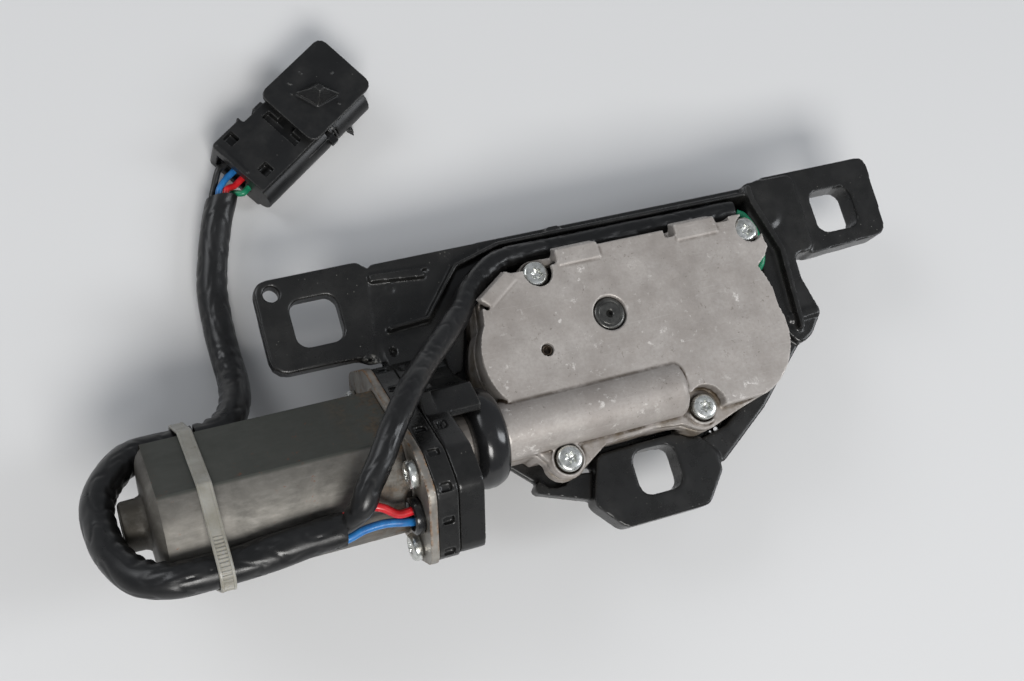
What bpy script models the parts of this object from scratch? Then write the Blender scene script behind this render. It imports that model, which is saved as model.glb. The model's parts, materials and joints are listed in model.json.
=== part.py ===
"""Rear wiper drive unit: motor, worm gearbox, moulded carrier and harness.

All sizes and places are in millimetres, and MM turns them into Blender's metres.
The gearbox cover faces up (+Z). The motor lies along -X from the gearbox, and the
origin is at the tip of the output spindle, on its axis.
"""

import math

import bmesh
import bpy
from mathutils import Matrix, Vector

MM = 0.001
GAP = 0.3

# Levels of the gearbox, measured up from the tip of the spindle
FACE_Z = 56.0
SEAT_Z = 50.0
COVER_BOTTOM_Z = 46.4
BASE_TOP_Z = 45.6
BASE_BOTTOM_Z = 30.0
BOSS_BOTTOM_Z = 16.0
WALL = 2.6
FACE_WALL = 2.4

# Worm, wheel and output gear
MODULE = 1.0
ADDENDUM = 0.8
DEDENDUM = 1.15
PRESSURE_ANGLE = math.radians(20)
BACKLASH = 0.3
WORM_PITCH_R = 5.0
WHEEL_TEETH = 38
PINION_TEETH = 12
OUTPUT_TEETH = 45
AXIS_Y = -32.0
AXIS_Z = 49.5
WHEEL_R = MODULE * WHEEL_TEETH / 2
PIN_Y = AXIS_Y + WORM_PITCH_R + WHEEL_R
GEAR_DISTANCE = MODULE * (PINION_TEETH + OUTPUT_TEETH) / 2
PIN_X = -math.sqrt(GEAR_DISTANCE ** 2 - PIN_Y ** 2)
WHEEL_WIDTH = 6.0
WORM_LENGTH = 22.0
OUTPUT_GEAR_Z = (37.0, 44.5)

# Outline of the gearbox
LEFT_LOBE_R = 24.5
RIGHT_LOBE = (43.0, -19.0)
RIGHT_LOBE_R = 24.7
TOP_EDGE_Y = 26.4
TUNNEL_R = 10.5
TUNNEL_BORE_R = 8.0
TUNNEL_X = (-52.0, 20.0)
NECK_END_X = -72.5
SEAL_X = (-64.8, -52.5)
SCREWS = ((-22.2, 20.7), (65.1, 20.3), (26.1, -41.3), (-29.9, -47.1))
SCREW_HOLE_R = 2.5
SCREW_HEAD_R = 4.4
SHAFT_R = 6.0
BRACKET_SCREWS = ((-42.0, -4.0), (-6.0, 18.5), (56.0, -14.0))

# Motor: a round can with two flats, turned 45 degrees about the motor's axis
CAN_R = 25.0
CAN_FLAT = 20.0
CAN_WALL = 1.5
FLAT_TURN = math.radians(45)
CAN_FRONT_X = -92.3
CAN_REAR_X = -175.0
BOSS_END_X = -183.0
FLANGE_X = (-92.0, -89.2)
HOLDER_X = (-88.9, -81.6)
SEAT_X = (-81.3, -72.5)
MOTOR_SCREWS = ((29.0, 15.0), (29.0, -15.0), (-38.5, 0.0))
ARMATURE_R = 3.0
CORE_R = 17.0
CORE_X = (-150.0, -108.0)
COMMUTATOR_X = (-89.5, -77.0)
COMMUTATOR_R = 8.5
BRUSH_X = -85.0

# Harness
SLEEVE_R = 5.75
CONTROL_R = 4.4
LEAD_R = 1.45
TIE_X = (-159.5, -154.5)
CONNECTOR = (-89.2, 106.0)
CONNECTOR_TURN = math.radians(34)
CONNECTOR_SIZE = (50.0, 30.0, 16.5)


# ---------------------------------------------------------------- materials

def paint(name, colour, roughness, metallic=0.0):
    """A plain Principled material."""
    made = bpy.data.materials.new(name)
    made.use_nodes = True
    shader = made.node_tree.nodes["Principled BSDF"]
    shader.inputs["Base Color"].default_value = (*colour, 1.0)
    shader.inputs["Roughness"].default_value = roughness
    shader.inputs["Metallic"].default_value = metallic
    made.diffuse_color = (*colour, 1.0)
    return made


# ---------------------------------------------------------------- outlines

def arc(centre, radius, start_deg, end_deg, steps):
    """Points along an arc, both ends included."""
    cx, cy = centre
    angles = [math.radians(start_deg + (end_deg - start_deg) * i / steps) for i in range(steps + 1)]
    return [(cx + radius * math.cos(a), cy + radius * math.sin(a)) for a in angles]


def circle(centre, radius, steps=28):
    return arc(centre, radius, 0, 360, steps)[:-1]


def filleted(corners, steps=3):
    """An outline from corners (x, y, radius), each rounded with its own radius."""
    made = []
    for i, (x, y, radius) in enumerate(corners):
        here = Vector((x, y))
        before = Vector(corners[i - 1][:2]) - here
        after = Vector(corners[(i + 1) % len(corners)][:2]) - here
        if radius <= 0:
            made.append((x, y))
            continue
        half = before.angle(after) / 2
        reach = min(radius / math.tan(half), 0.49 * before.length, 0.49 * after.length)
        radius = reach * math.tan(half)
        first, last = before.normalized(), after.normalized()
        centre = here + (first + last).normalized() * (radius / math.sin(half))
        start = here + first * reach - centre
        end = here + last * reach - centre
        turn = start.angle_signed(end)
        for k in range(steps + 1):
            made.append(tuple(centre + Matrix.Rotation(-turn * k / steps, 2) @ start))
    return made


def inset(points, distance):
    """The outline moved inwards by distance. The points run counter-clockwise."""
    made = []
    count = len(points)
    for i, point in enumerate(points):
        here = Vector(point)
        before = (here - Vector(points[i - 1])).normalized()
        after = (Vector(points[(i + 1) % count]) - here).normalized()
        first, last = Vector((-before.y, before.x)), Vector((-after.y, after.x))
        middle = (first + last).normalized()
        made.append(tuple(here + middle * (distance / max(0.4, middle.dot(first)))))
    return made


def convex_hull(points):
    """The convex outline round the points, counter-clockwise."""
    ordered = sorted(set(points))

    def half(run):
        chain = []
        for p in run:
            while len(chain) > 1:
                a, b = chain[-2], chain[-1]
                if (b[0] - a[0]) * (p[1] - a[1]) - (b[1] - a[1]) * (p[0] - a[0]) > 1e-9:
                    break
                chain.pop()
            chain.append(p)
        return chain[:-1]

    return half(ordered) + half(ordered[::-1])


def can_outline(radius, flat, steps=10):
    """A circle with two flats at the given half distance, as (y, z) about the motor's axis."""
    half = math.degrees(math.acos(min(flat / radius, 0.985)))
    turn = math.degrees(FLAT_TURN)
    near = arc((0, 0), radius, turn + half, turn + 180 - half, steps)
    far = arc((0, 0), radius, turn + 180 + half, turn + 360 - half, steps)
    return near + far


def flange_outline(shrink=0.0):
    """The motor flange, as (y, z) about the motor's axis: its long way runs across the can's flats."""
    corners = [(-47, 8, 7), (-47, -8, 7), (-26, -22, 12), (28, -22, 8), (41, -15, 7), (41, 15, 7),
               (28, 22, 8), (-26, 22, 12)]
    flat = filleted(corners)
    return [flange_point(a, b) for a, b in inset(flat, shrink)]


def flange_point(along, across):
    """A place on the flange, from its long and short way to (y, z) about the motor's axis."""
    turn = FLAT_TURN + math.pi / 2
    return (
        along * math.cos(turn) + across * math.sin(turn),
        along * math.sin(turn) - across * math.cos(turn),
    )


def right_edge():
    """The right lobe's edge and the ear below the upper right screw, as both gearbox outlines share them."""
    ear = [(66.9, -5.0), (65.4, 0.5), (63.6, 5.0), (67.8, 8.2), (70.3, 11.6), (69.6, 15.0)]
    return arc(RIGHT_LOBE, RIGHT_LOBE_R, -72, 18, 10) + ear


def crown_outline():
    """The raised part of the gearbox cover, round the gears and above the worm tunnel."""
    points = right_edge()
    points += arc(SCREWS[1], 5.2, -30, 60, 5)
    points += [(62.0, TOP_EDGE_Y), (-15.0, TOP_EDGE_Y)]
    points += arc(SCREWS[0], 5.2, 80, 165, 5)
    points += [(-34.0, 22.6), (-46.0, 15.4)]
    points += arc((PIN_X, PIN_Y), LEFT_LOBE_R, 146, 225, 12)
    points += [(-44.0, AXIS_Y - 1), (19.0, AXIS_Y - 1)]
    points += arc(SCREWS[2], 7.6, 130, -12, 7)
    return points


def flange_strip_outline():
    """The whole foot of the gearbox, with the strip below the worm tunnel."""
    points = right_edge()
    points += arc(SCREWS[1], 6.6, -30, 60, 6)
    points += [(62.0, TOP_EDGE_Y), (-15.0, TOP_EDGE_Y)]
    points += arc(SCREWS[0], 6.0, 80, 165, 5)
    points += [(-34.0, 22.6), (-46.0, 15.4)]
    points += arc((PIN_X, PIN_Y), LEFT_LOBE_R, 146, 212, 10)
    points += [(TUNNEL_X[0], AXIS_Y + TUNNEL_R), (TUNNEL_X[0], AXIS_Y - TUNNEL_R), (-40.0, AXIS_Y - TUNNEL_R)]
    points += arc(SCREWS[3], 7.0, 175, 320, 7)
    points += [(-14.0, -45.2), (6.0, -44.2), (17.0, -45.5)]
    points += arc(SCREWS[2], 8.2, 235, 290, 4)
    points += [(40.0, -45.4)]
    return points


# ---------------------------------------------------------------- solids

def finish(name, bm, material, smooth_deg=35):
    """An object from a bmesh in millimetres, closed and shaded."""
    bmesh.ops.remove_doubles(bm, verts=bm.verts, dist=0.0005)
    bmesh.ops.recalc_face_normals(bm, faces=bm.faces)
    for vertex in bm.verts:
        vertex.co *= MM
    mesh = bpy.data.meshes.new(name)
    bm.to_mesh(mesh)
    bm.free()
    return add_object(name, mesh, material, smooth_deg)


def add_object(name, mesh, material, smooth_deg=35):
    mesh.materials.clear()
    mesh.materials.append(material)
    mesh.shade_smooth()
    mesh.set_sharp_from_angle(angle=math.radians(smooth_deg))
    made = bpy.data.objects.new(name, mesh)
    bpy.context.scene.collection.objects.link(made)
    return made


def loft(name, sections, material):
    """A solid through rings of 3-D points, all with the same count, capped at both ends."""
    bm = bmesh.new()
    rings = [[bm.verts.new(point) for point in section] for section in sections]
    count = len(rings[0])
    for low, high in zip(rings, rings[1:]):
        for i in range(count):
            j = (i + 1) % count
            bm.faces.new((low[i], low[j], high[j], high[i]))
    bm.faces.new(rings[0][::-1])
    bm.faces.new(rings[-1])
    return finish(name, bm, material)


def prism(name, outline, bottom, top, material):
    """An outline in X and Y, standing from bottom to top."""
    return loft(name, [[(x, y, z) for x, y in outline] for z in (bottom, top)], material)


def prism_x(name, outline, start, end, material):
    """An outline of (y, z) about the motor's axis, running from start to end along X."""
    return loft(name, [axis_ring(outline, x) for x in (start, end)], material)


def axis_ring(outline, x):
    return [(x, AXIS_Y + y, AXIS_Z + z) for y, z in outline]


def turned(name, profile, material, centre=(0.0, 0.0), along_x=False, steps=32):
    """A closed profile of (radius, height) turned about a vertical axis, or about the motor's axis."""
    bm = bmesh.new()
    rings = []
    for radius, height in profile:
        if radius < 1e-6:
            rings.append([bm.verts.new((0, 0, height))])
        else:
            rings.append([bm.verts.new((x, y, height)) for x, y in circle((0, 0), radius, steps)])
    for low, high in zip(rings, rings[1:] + rings[:1]):
        if len(low) == 1 and len(high) == 1:
            continue
        for i in range(steps):
            j = (i + 1) % steps
            corners = [low[i % len(low)], low[j % len(low)], high[j % len(high)], high[i % len(high)]]
            bm.faces.new(list(dict.fromkeys(corners)))
    if along_x:
        place = Matrix(((0, 0, 1, 0), (1, 0, 0, AXIS_Y), (0, 1, 0, AXIS_Z), (0, 0, 0, 1)))
    else:
        place = Matrix.Translation((*centre, 0))
    bmesh.ops.transform(bm, matrix=place, verts=bm.verts)
    return finish(name, bm, material)


def cylinder(name, centre, radius, bottom, top, material, steps=28):
    return prism(name, circle(centre, radius, steps), bottom, top, material)


def block(name, low, high, material):
    outline = [(low[0], low[1]), (high[0], low[1]), (high[0], high[1]), (low[0], high[1])]
    return prism(name, outline, low[2], high[2], material)


def combine(target, others, operation):
    """Applies exact Booleans to the target one after another and removes the other objects."""
    for other in others:
        step = target.modifiers.new("step", "BOOLEAN")
        step.object = other
        step.operation = operation
        step.solver = "EXACT"
        graph = bpy.context.evaluated_depsgraph_get()
        mesh = bpy.data.meshes.new_from_object(target.evaluated_get(graph))
        target.modifiers.clear()
        target.data = mesh
        bpy.data.objects.remove(other, do_unlink=True)
    tidy_mesh(target)
    return target


def tidy_mesh(target):
    """Merges points that nearly coincide, and dissolves flat remains of the Booleans."""
    bm = bmesh.new()
    bm.from_mesh(target.data)
    bmesh.ops.remove_doubles(bm, verts=bm.verts, dist=0.000002)
    bmesh.ops.dissolve_limit(bm, angle_limit=math.radians(0.05), verts=bm.verts, edges=bm.edges)
    bm.to_mesh(target.data)
    bm.free()
    target.data.shade_smooth()
    target.data.set_sharp_from_angle(angle=math.radians(35))


def fuse(target, *others):
    return combine(target, others, "UNION")


def cut(target, *others):
    return combine(target, others, "DIFFERENCE")


def origin_at(target, place):
    """Moves the object's origin to a place in millimetres, and leaves its shape where it is."""
    shift = Vector(place) * MM
    target.data.transform(Matrix.Translation(-shift))
    target.location = shift
    return target


def smooth_route(route, spacing):
    """Points along a smooth curve through the route's own points, about the spacing apart."""
    points = [Vector(p) for p in route]
    dense = []
    for i in range(len(points) - 1):
        p1, p2 = points[i], points[i + 1]
        p0 = points[i - 1] if i else 2 * p1 - p2
        p3 = points[i + 2] if i + 2 < len(points) else 2 * p2 - p1
        for k in range(20):
            t = k / 20
            dense.append(0.5 * (2 * p1 + (p2 - p0) * t + (2 * p0 - 5 * p1 + 4 * p2 - p3) * t ** 2
                                + (3 * p1 - p0 - 3 * p2 + p3) * t ** 3))
    dense.append(points[-1])
    lengths = [0.0]
    for a, b in zip(dense, dense[1:]):
        lengths.append(lengths[-1] + (b - a).length)
    count = max(2, round(lengths[-1] / spacing))
    made = []
    for i in range(count + 1):
        goal = lengths[-1] * i / count
        k = min(max(j for j, value in enumerate(lengths) if value <= goal + 1e-9), len(dense) - 2)
        share = (goal - lengths[k]) / max(lengths[k + 1] - lengths[k], 1e-9)
        made.append(dense[k].lerp(dense[k + 1], share))
    return made


def tube(name, route, radius, material, spacing=None, rounds=2):
    """A cord along a smooth route, with filled ends."""
    points = smooth_route(route, spacing or 5 * radius)
    curve = bpy.data.curves.new(name, "CURVE")
    curve.dimensions = "3D"
    curve.bevel_depth = radius * MM
    curve.bevel_resolution = rounds
    curve.use_fill_caps = True
    spline = curve.splines.new("POLY")
    spline.points.add(len(points) - 1)
    for point, place in zip(spline.points, points):
        point.co = (*(place * MM), 1.0)
    curve.materials.append(material)
    made = bpy.data.objects.new(name, curve)
    bpy.context.scene.collection.objects.link(made)
    return made


# ---------------------------------------------------------------- gears

def involute(angle):
    return math.tan(angle) - angle


def tooth_half_angle(radius, teeth):
    """Half the angle that a tooth takes at this radius, with its share of the backlash taken off."""
    pitch_r = MODULE * teeth / 2
    base_r = pitch_r * math.cos(PRESSURE_ANGLE)
    at_radius = math.acos(min(1.0, base_r / max(radius, base_r)))
    thinning = BACKLASH / (4 * pitch_r) * 2
    return math.pi / (2 * teeth) - thinning + involute(PRESSURE_ANGLE) - involute(at_radius)


def gear_outline(teeth, centre, first_tooth):
    """A spur gear's outline, with the middle of one tooth at the angle first_tooth."""
    pitch_r = MODULE * teeth / 2
    root, tip = pitch_r - DEDENDUM * MODULE, pitch_r + ADDENDUM * MODULE
    points = []
    for tooth in range(teeth):
        middle = first_tooth + 2 * math.pi * tooth / teeth
        for side, radii in ((-1, (root, tip)), (1, (tip, root))):
            for radius in radii:
                angle = middle + side * tooth_half_angle(radius, teeth)
                points.append((centre[0] + radius * math.cos(angle), centre[1] + radius * math.sin(angle)))
    return points


def worm_wheel(material):
    """The nylon worm wheel and its pinion in one piece, turning on the axle pin."""
    centre = (PIN_X, PIN_Y)
    lead_slope = MODULE / (2 * WORM_PITCH_R)
    twist = lead_slope * WHEEL_WIDTH / WHEEL_R
    gap_down = -math.pi / 2 + math.pi / WHEEL_TEETH
    layers = []
    for share in (-0.5, 0.5):
        outline = gear_outline(WHEEL_TEETH, centre, gap_down + share * twist)
        layers.append([(x, y, AXIS_Z + share * WHEEL_WIDTH) for x, y in outline])
    wheel = loft("worm_wheel", layers, material)
    to_gear = math.atan2(-PIN_Y, -PIN_X)
    pinion = prism("pinion", gear_outline(PINION_TEETH, centre, to_gear),
                   OUTPUT_GEAR_Z[0] - 0.2, AXIS_Z, material)
    fuse(wheel, pinion)
    dish = turned("dish", [(8.2, 60), (8.2, AXIS_Z + 2.2), (16.2, AXIS_Z + 2.2), (16.2, 60)], material,
                  centre)
    bore = cylinder("bore", centre, 2.15, 30, 60, material, 24)
    cut(wheel, dish, bore)
    return origin_at(wheel, (PIN_X, PIN_Y, AXIS_Z))


def output_gear(material):
    to_pin = math.atan2(PIN_Y, PIN_X)
    outline = gear_outline(OUTPUT_TEETH, (0, 0), to_pin + math.pi / OUTPUT_TEETH)
    gear = prism("output_gear", outline, *OUTPUT_GEAR_Z, material)
    dish = turned("dish", [(9.5, 60), (9.5, 42.3), (19.5, 42.3), (19.5, 60)], material, steps=40)
    bore = cylinder("bore", (0, 0), SHAFT_R + GAP, 30, 60, material, 40)
    cut(gear, dish, bore)
    return origin_at(gear, (0, 0, OUTPUT_GEAR_Z[0]))


def worm_thread(material):
    """The worm's thread: a ridge wound right-handed round the armature shaft, fading out at both ends."""
    lead = math.pi * MODULE
    per_turn = 12
    turns = WORM_LENGTH / lead
    count = round(turns * per_turn)
    base_r = WORM_PITCH_R - DEDENDUM - 0.6
    crest_r = WORM_PITCH_R + ADDENDUM
    slope = math.tan(PRESSURE_ANGLE)
    sections = []
    for i in range(count + 1):
        along = -WORM_LENGTH / 2 + WORM_LENGTH * i / count
        angle = 2 * math.pi * along / lead
        fade = min(1.0, (WORM_LENGTH / 2 - abs(along)) / (0.6 * lead))
        tip = base_r + (crest_r - base_r) * max(fade, 0.12)
        ring = []
        for side, radius in ((-1, base_r), (-1, tip), (1, tip), (1, base_r)):
            half = (lead / 2 - BACKLASH) / 2 + (WORM_PITCH_R - radius) * slope
            x = PIN_X + along + side * half
            ring.append((x, AXIS_Y + radius * math.cos(angle), AXIS_Z + radius * math.sin(angle)))
        sections.append(ring)
    return loft("thread", sections, material)


def armature_shaft(material):
    """The steel shaft with the worm cut on it, from the rear bush to the end of the worm tunnel."""
    core_r = WORM_PITCH_R - DEDENDUM
    low, high = PIN_X - WORM_LENGTH / 2 - 2, PIN_X + WORM_LENGTH / 2 + 2
    profile = [(0, BOSS_END_X + 2.2), (ARMATURE_R, BOSS_END_X + 2.2), (ARMATURE_R, low - 3), (core_r, low),
               (core_r, high), (ARMATURE_R, high + 3), (ARMATURE_R, 15.4), (0, 16.0)]
    shaft = turned("armature_shaft", profile, material, along_x=True, steps=20)
    fuse(shaft, worm_thread(material))
    return origin_at(shaft, (0, AXIS_Y, AXIS_Z))


# ---------------------------------------------------------------- gearbox

def gear_cover(metal):
    cover = prism("gear_cover", flange_strip_outline(), COVER_BOTTOM_Z, SEAT_Z, metal)
    crown = prism("crown", crown_outline(), SEAT_Z - 2, FACE_Z, metal)
    for place in SCREWS[:2]:
        cut(crown, cylinder("recess", place, 5.5, SEAT_Z, 60, metal))
    lugs = []
    for a, b in ((-14.0, 2.4), (34.6, 51.8)):
        corners = [(a, 20, 0), (b, 20, 0), (b, 27.9, 1), (a, 27.9, 1)]
        lugs.append(prism("lug", filleted(corners, 2), 50.4, FACE_Z, metal))
    sections = []
    for x, radius in ((TUNNEL_X[0], TUNNEL_R), (TUNNEL_X[1] - 3.5, TUNNEL_R), (TUNNEL_X[1], TUNNEL_R - 2.2)):
        start = math.degrees(math.asin((COVER_BOTTOM_Z - AXIS_Z) / radius))
        sections.append(axis_ring(arc((0, 0), radius, start, 180 - start, 16), x))
    fuse(cover, crown, *lugs, loft("tunnel", sections, metal))
    cavity = prism("cavity", inset(crown_outline(), WALL), COVER_BOTTOM_Z - 1, FACE_Z - FACE_WALL, metal)
    bore = prism_x("bore", circle((0, 0), TUNNEL_BORE_R), TUNNEL_X[0] - 2, 16.5, metal)
    cut(cover, cavity, bore)
    posts = [cylinder("post", place, 5.0, COVER_BOTTOM_Z, SEAT_Z, metal, 14) for place in SCREWS]
    boss_low = AXIS_Z + WHEEL_WIDTH / 2 + GAP
    pin_boss = cylinder("pin_boss", (PIN_X, PIN_Y), 4.6, boss_low, FACE_Z - 1, metal, 24)
    fuse(cover, *posts, pin_boss)
    holes = [cylinder("hole", place, SCREW_HOLE_R, 40, 60, metal, 14) for place in SCREWS]
    holes.append(cylinder("shaft_hole", (0, 0), SHAFT_R + 0.4, 40, 60, metal, 40))
    holes.append(cylinder("pin_hole", (PIN_X, PIN_Y), 2.3, 40, 60, metal, 20))
    return cut(cover, *holes)


def gear_base(metal):
    base = prism("gear_base", flange_strip_outline(), BASE_BOTTOM_Z, BASE_TOP_Z, metal)
    under = block("under", (-60, -60, 20), (20, AXIS_Y - 12.5, 40.5), metal)
    neck_rise = prism_x("neck", circle((0, 0), TUNNEL_R), NECK_END_X, TUNNEL_X[0] - GAP, metal)
    root = prism_x("neck_root", arc((0, 0), TUNNEL_R, 200, 340, 12) + [(9.5, -4.2), (-9.5, -4.2)],
                   TUNNEL_X[0] - 3, TUNNEL_X[0] + 3, metal)
    boss = cylinder("boss", (0, 0), 11.5, BOSS_BOTTOM_Z, BASE_BOTTOM_Z + 1, metal, 40)
    cut(base, under)
    fuse(base, root, neck_rise, boss)
    cavity = prism("cavity", inset(crown_outline(), WALL), BASE_BOTTOM_Z + 3, BASE_TOP_Z + 1, metal)
    bore = prism_x("bore", circle((0, 0), TUNNEL_BORE_R), NECK_END_X - 1, 16.5, metal)
    cut(base, cavity, bore)
    posts = [cylinder("post", place, 5.0, BASE_BOTTOM_Z + 1, BASE_TOP_Z, metal, 16) for place in SCREWS[:2]]
    posts += [cylinder("post", place, 4.4, BASE_BOTTOM_Z + 1, 36.0, metal, 14) for place in BRACKET_SCREWS]
    pin_top = OUTPUT_GEAR_Z[0] - 0.5
    posts.append(cylinder("pin_post", (PIN_X, PIN_Y), 4.6, BASE_BOTTOM_Z + 1, pin_top, metal, 16))
    fuse(base, *posts)
    holes = [cylinder("hole", place, SCREW_HOLE_R, 33, 60, metal, 16) for place in SCREWS[:2]]
    holes += [cylinder("hole", place, SCREW_HOLE_R, 35, 60, metal, 16) for place in SCREWS[2:]]
    holes += [cylinder("hole", place, 1.9, 20, 35, metal, 16) for place in BRACKET_SCREWS]
    holes.append(cylinder("shaft_bore", (0, 0), 8.0, 10, 40, metal, 40))
    holes.append(cylinder("pin_hole", (PIN_X, PIN_Y), 2.3, 31.0, 40, metal, 20))
    holes.append(block("lead_entry", (55, 2, 36.5), (70, 7, 43), metal))
    return cut(base, *holes)


def gasket(material):
    seal = prism("cover_gasket", inset(flange_strip_outline(), 0.6), BASE_TOP_Z + 0.25,
                 COVER_BOTTOM_Z - 0.25, material)
    cavity = prism("cavity", inset(crown_outline(), WALL - 0.5), 40, 50, material)
    bore = prism_x("bore", circle((0, 0), TUNNEL_BORE_R + 0.5), TUNNEL_X[0] - 2, 16.5, material)
    holes = [cylinder("hole", place, SCREW_HOLE_R + 0.2, 40, 60, material, 16) for place in SCREWS]
    return cut(seal, cavity, bore, *holes)


def screw(name, place, head_z, length, material, facing=1, shank_r=2.1, head_r=SCREW_HEAD_R):
    """A pan-head screw with a six-lobed recess. facing is 1 with its head up, -1 with its head down."""
    steps = 18
    lobes = [2.05 + 0.4 * math.cos(6 * 2 * math.pi * i / steps) for i in range(steps)]
    top = head_z + facing * 3.2
    end = head_z - facing * length
    rings = [(lobes, top - facing * 1.9), (lobes, top), (head_r - 0.9, top), (head_r, top - facing * 1.0),
             (head_r, head_z), (shank_r, head_z), (shank_r, end + facing), (shank_r - 0.7, end)]
    sections = []
    for radii, height in rings:
        each = radii if isinstance(radii, list) else [radii] * steps
        angles = [2 * math.pi * i / steps for i in range(steps)]
        sections.append([(place[0] + r * math.cos(a), place[1] + r * math.sin(a), height)
                         for r, a in zip(each, angles)])
    return loft(name, sections, material)


def along_motor(target, place):
    """Turns a piece that was made upright at the origin so that its top faces the motor's rear."""
    y, z = place
    turn = Matrix(((0, 0, -1, 0), (1, 0, 0, (AXIS_Y + y) * MM), (0, -1, 0, (AXIS_Z + z) * MM), (0, 0, 0, 1)))
    target.data.transform(turn)
    return target


def spindle_parts(steel, bronze, rubber):
    """The output shaft with its bushes, seal, washer and clip."""
    profile = [(0, FACE_Z - 3.6), (1.25, FACE_Z - 3.6), (1.25, FACE_Z - 0.6), (SHAFT_R - 0.6, FACE_Z - 0.6),
               (SHAFT_R, FACE_Z - 1.2), (SHAFT_R, 13.4), (5.1, 13.3), (5.1, 12.2), (5.8, 12.0),
               (4.5, 8.6), (4.0, 8.4), (4.0, 0.8), (3.3, 0.0), (0, 0.0)]
    shaft = origin_at(turned("output_shaft", profile, steel, steps=32), (0, 0, FACE_Z))
    bushes = []
    for name, low, high in (("lower_bush", 17.0, 24.0), ("upper_bush", 27.0, 34.0)):
        ring = [(SHAFT_R + 0.1, low), (7.7, low), (7.7, high), (SHAFT_R + 0.1, high)]
        bushes.append(turned(name, ring, bronze, steps=28))
    lip = [(SHAFT_R + 0.1, 14.2), (9.0, 13.9), (11.2, 14.6), (11.2, 15.7), (SHAFT_R + 0.3, 15.7)]
    seal = turned("shaft_seal", lip, rubber, steps=28)
    washer_profile = [(SHAFT_R + 0.1, 35.3), (10.2, 35.3), (10.2, 36.7), (SHAFT_R + 0.1, 36.7)]
    washer = turned("thrust_washer", washer_profile, bronze, steps=28)
    clip = turned("retaining_clip", [(5.4, 12.45), (8.4, 12.45), (8.4, 13.15), (5.4, 13.15)], steel, steps=32)
    slot = block("slot", (-1.2, 0, 10), (1.2, 12, 15), steel)
    cut(clip, slot)
    return [shaft, seal, washer, clip] + bushes


def control_parts(board_green, black, magnet_grey, bronze):
    """The board in the right lobe with its choke and sensor, and the magnet that rides on the output gear."""
    corners = [(27, -29, 2), (36, -34, 2), (50, -36, 4), (60, -27, 4), (60, -12, 4), (55, 0, 3),
               (55, 10, 2), (27, 10, 2), (27, 4, 2), (12, 4, 2), (12, -20, 2), (27, -21, 2)]
    board = prism("control_board", filleted(corners, 3), 48.4, 50.0, board_green)
    sensor = block("position_sensor", (12.5, -10.0, 47.2), (16.5, -6.0, 48.1), black)
    choke = turned("suppression_choke", [(0, 38.0), (5.0, 38.0), (5.0, 48.1), (0, 48.1)], bronze, (42, -20),
                   steps=20)
    place = (15.5 * math.cos(math.radians(-60)), 15.5 * math.sin(math.radians(-60)))
    magnet = turned("position_magnet", [(0, 42.6), (3.0, 42.6), (3.0, 46.2), (0, 46.2)], magnet_grey, place,
                    steps=20)
    magnet = origin_at(magnet, (0, 0, OUTPUT_GEAR_Z[0]))
    pin_end = FACE_Z - 0.8
    pin_profile = [(0, 31.5), (2.0, 31.5), (2.0, pin_end - 0.4), (1.6, pin_end), (0, pin_end)]
    pin = turned("axle_pin", pin_profile, magnet_grey, (PIN_X, PIN_Y), steps=20)
    return [board, sensor, choke, magnet, pin]


# ---------------------------------------------------------------- motor

def motor_can(steel):
    """The drawn can: inside from the rear bush pocket to the mouth, then outside to the rear boss."""
    inner_r, inner_flat = CAN_R - CAN_WALL, CAN_FLAT - CAN_WALL
    profile = (
        (6.9, 6.9, BOSS_END_X + 1.6), (6.9, 6.9, CAN_REAR_X + 2.0),
        (inner_r - 6, inner_flat - 6, CAN_REAR_X + 3.4), (inner_r - 1.6, inner_flat - 1.6, CAN_REAR_X + 4.2),
        (inner_r, inner_flat, CAN_REAR_X + 6.5), (inner_r, inner_flat, CAN_FRONT_X),
        (CAN_R, CAN_FLAT, CAN_FRONT_X), (CAN_R, CAN_FLAT, CAN_REAR_X + 6),
        (CAN_R - 0.9, CAN_FLAT - 0.9, CAN_REAR_X + 3.2), (CAN_R - 3.0, CAN_FLAT - 3.0, CAN_REAR_X + 1.2),
        (CAN_R - 5.6, CAN_FLAT - 5.6, CAN_REAR_X + 0.4), (9.4, 9.4, CAN_REAR_X),
        (8.6, 8.6, CAN_REAR_X - 1.0), (8.4, 8.4, BOSS_END_X + 1.0), (7.4, 7.4, BOSS_END_X),
    )
    sections = [axis_ring(can_outline(radius, flat), x) for radius, flat, x in profile]
    return loft("motor_can", sections, steel)


def motor_flange(steel):
    plate = prism_x("motor_flange", flange_outline(), *FLANGE_X, steel)
    holes = [prism_x("mouth", circle((0, 0), 14.0), -100, -70, steel),
             prism_x("lead_hole", circle(flange_point(31.5, 0), 5.8, 20), -100, -70, steel)]
    holes += [prism_x("hole", circle(flange_point(*place), 2.5, 16), -100, -70, steel)
              for place in MOTOR_SCREWS]
    return cut(plate, *holes)


def motor_screws(steel):
    made = []
    for i, place in enumerate(MOTOR_SCREWS):
        piece = screw(f"motor_screw_{i + 1}", (0, 0), 0.0, 16.0, steel)
        along_motor(piece, flange_point(*place))
        piece.data.transform(Matrix.Translation(((FLANGE_X[0] - GAP) * MM, 0, 0)))
        made.append(piece)
    return made


def magnets(ferrite):
    """Two curved field magnets on the round sides of the can."""
    made = []
    for name, middle in (("magnet_front", 135), ("magnet_back", 315)):
        outline = arc((0, 0), CAN_R - CAN_WALL - GAP, middle - 46, middle + 46, 12)
        outline += arc((0, 0), CORE_R + 0.8, middle + 46, middle - 46, 12)
        made.append(prism_x(name, outline, CORE_X[0] - 3, CORE_X[1] + 3, ferrite))
    return made


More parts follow.
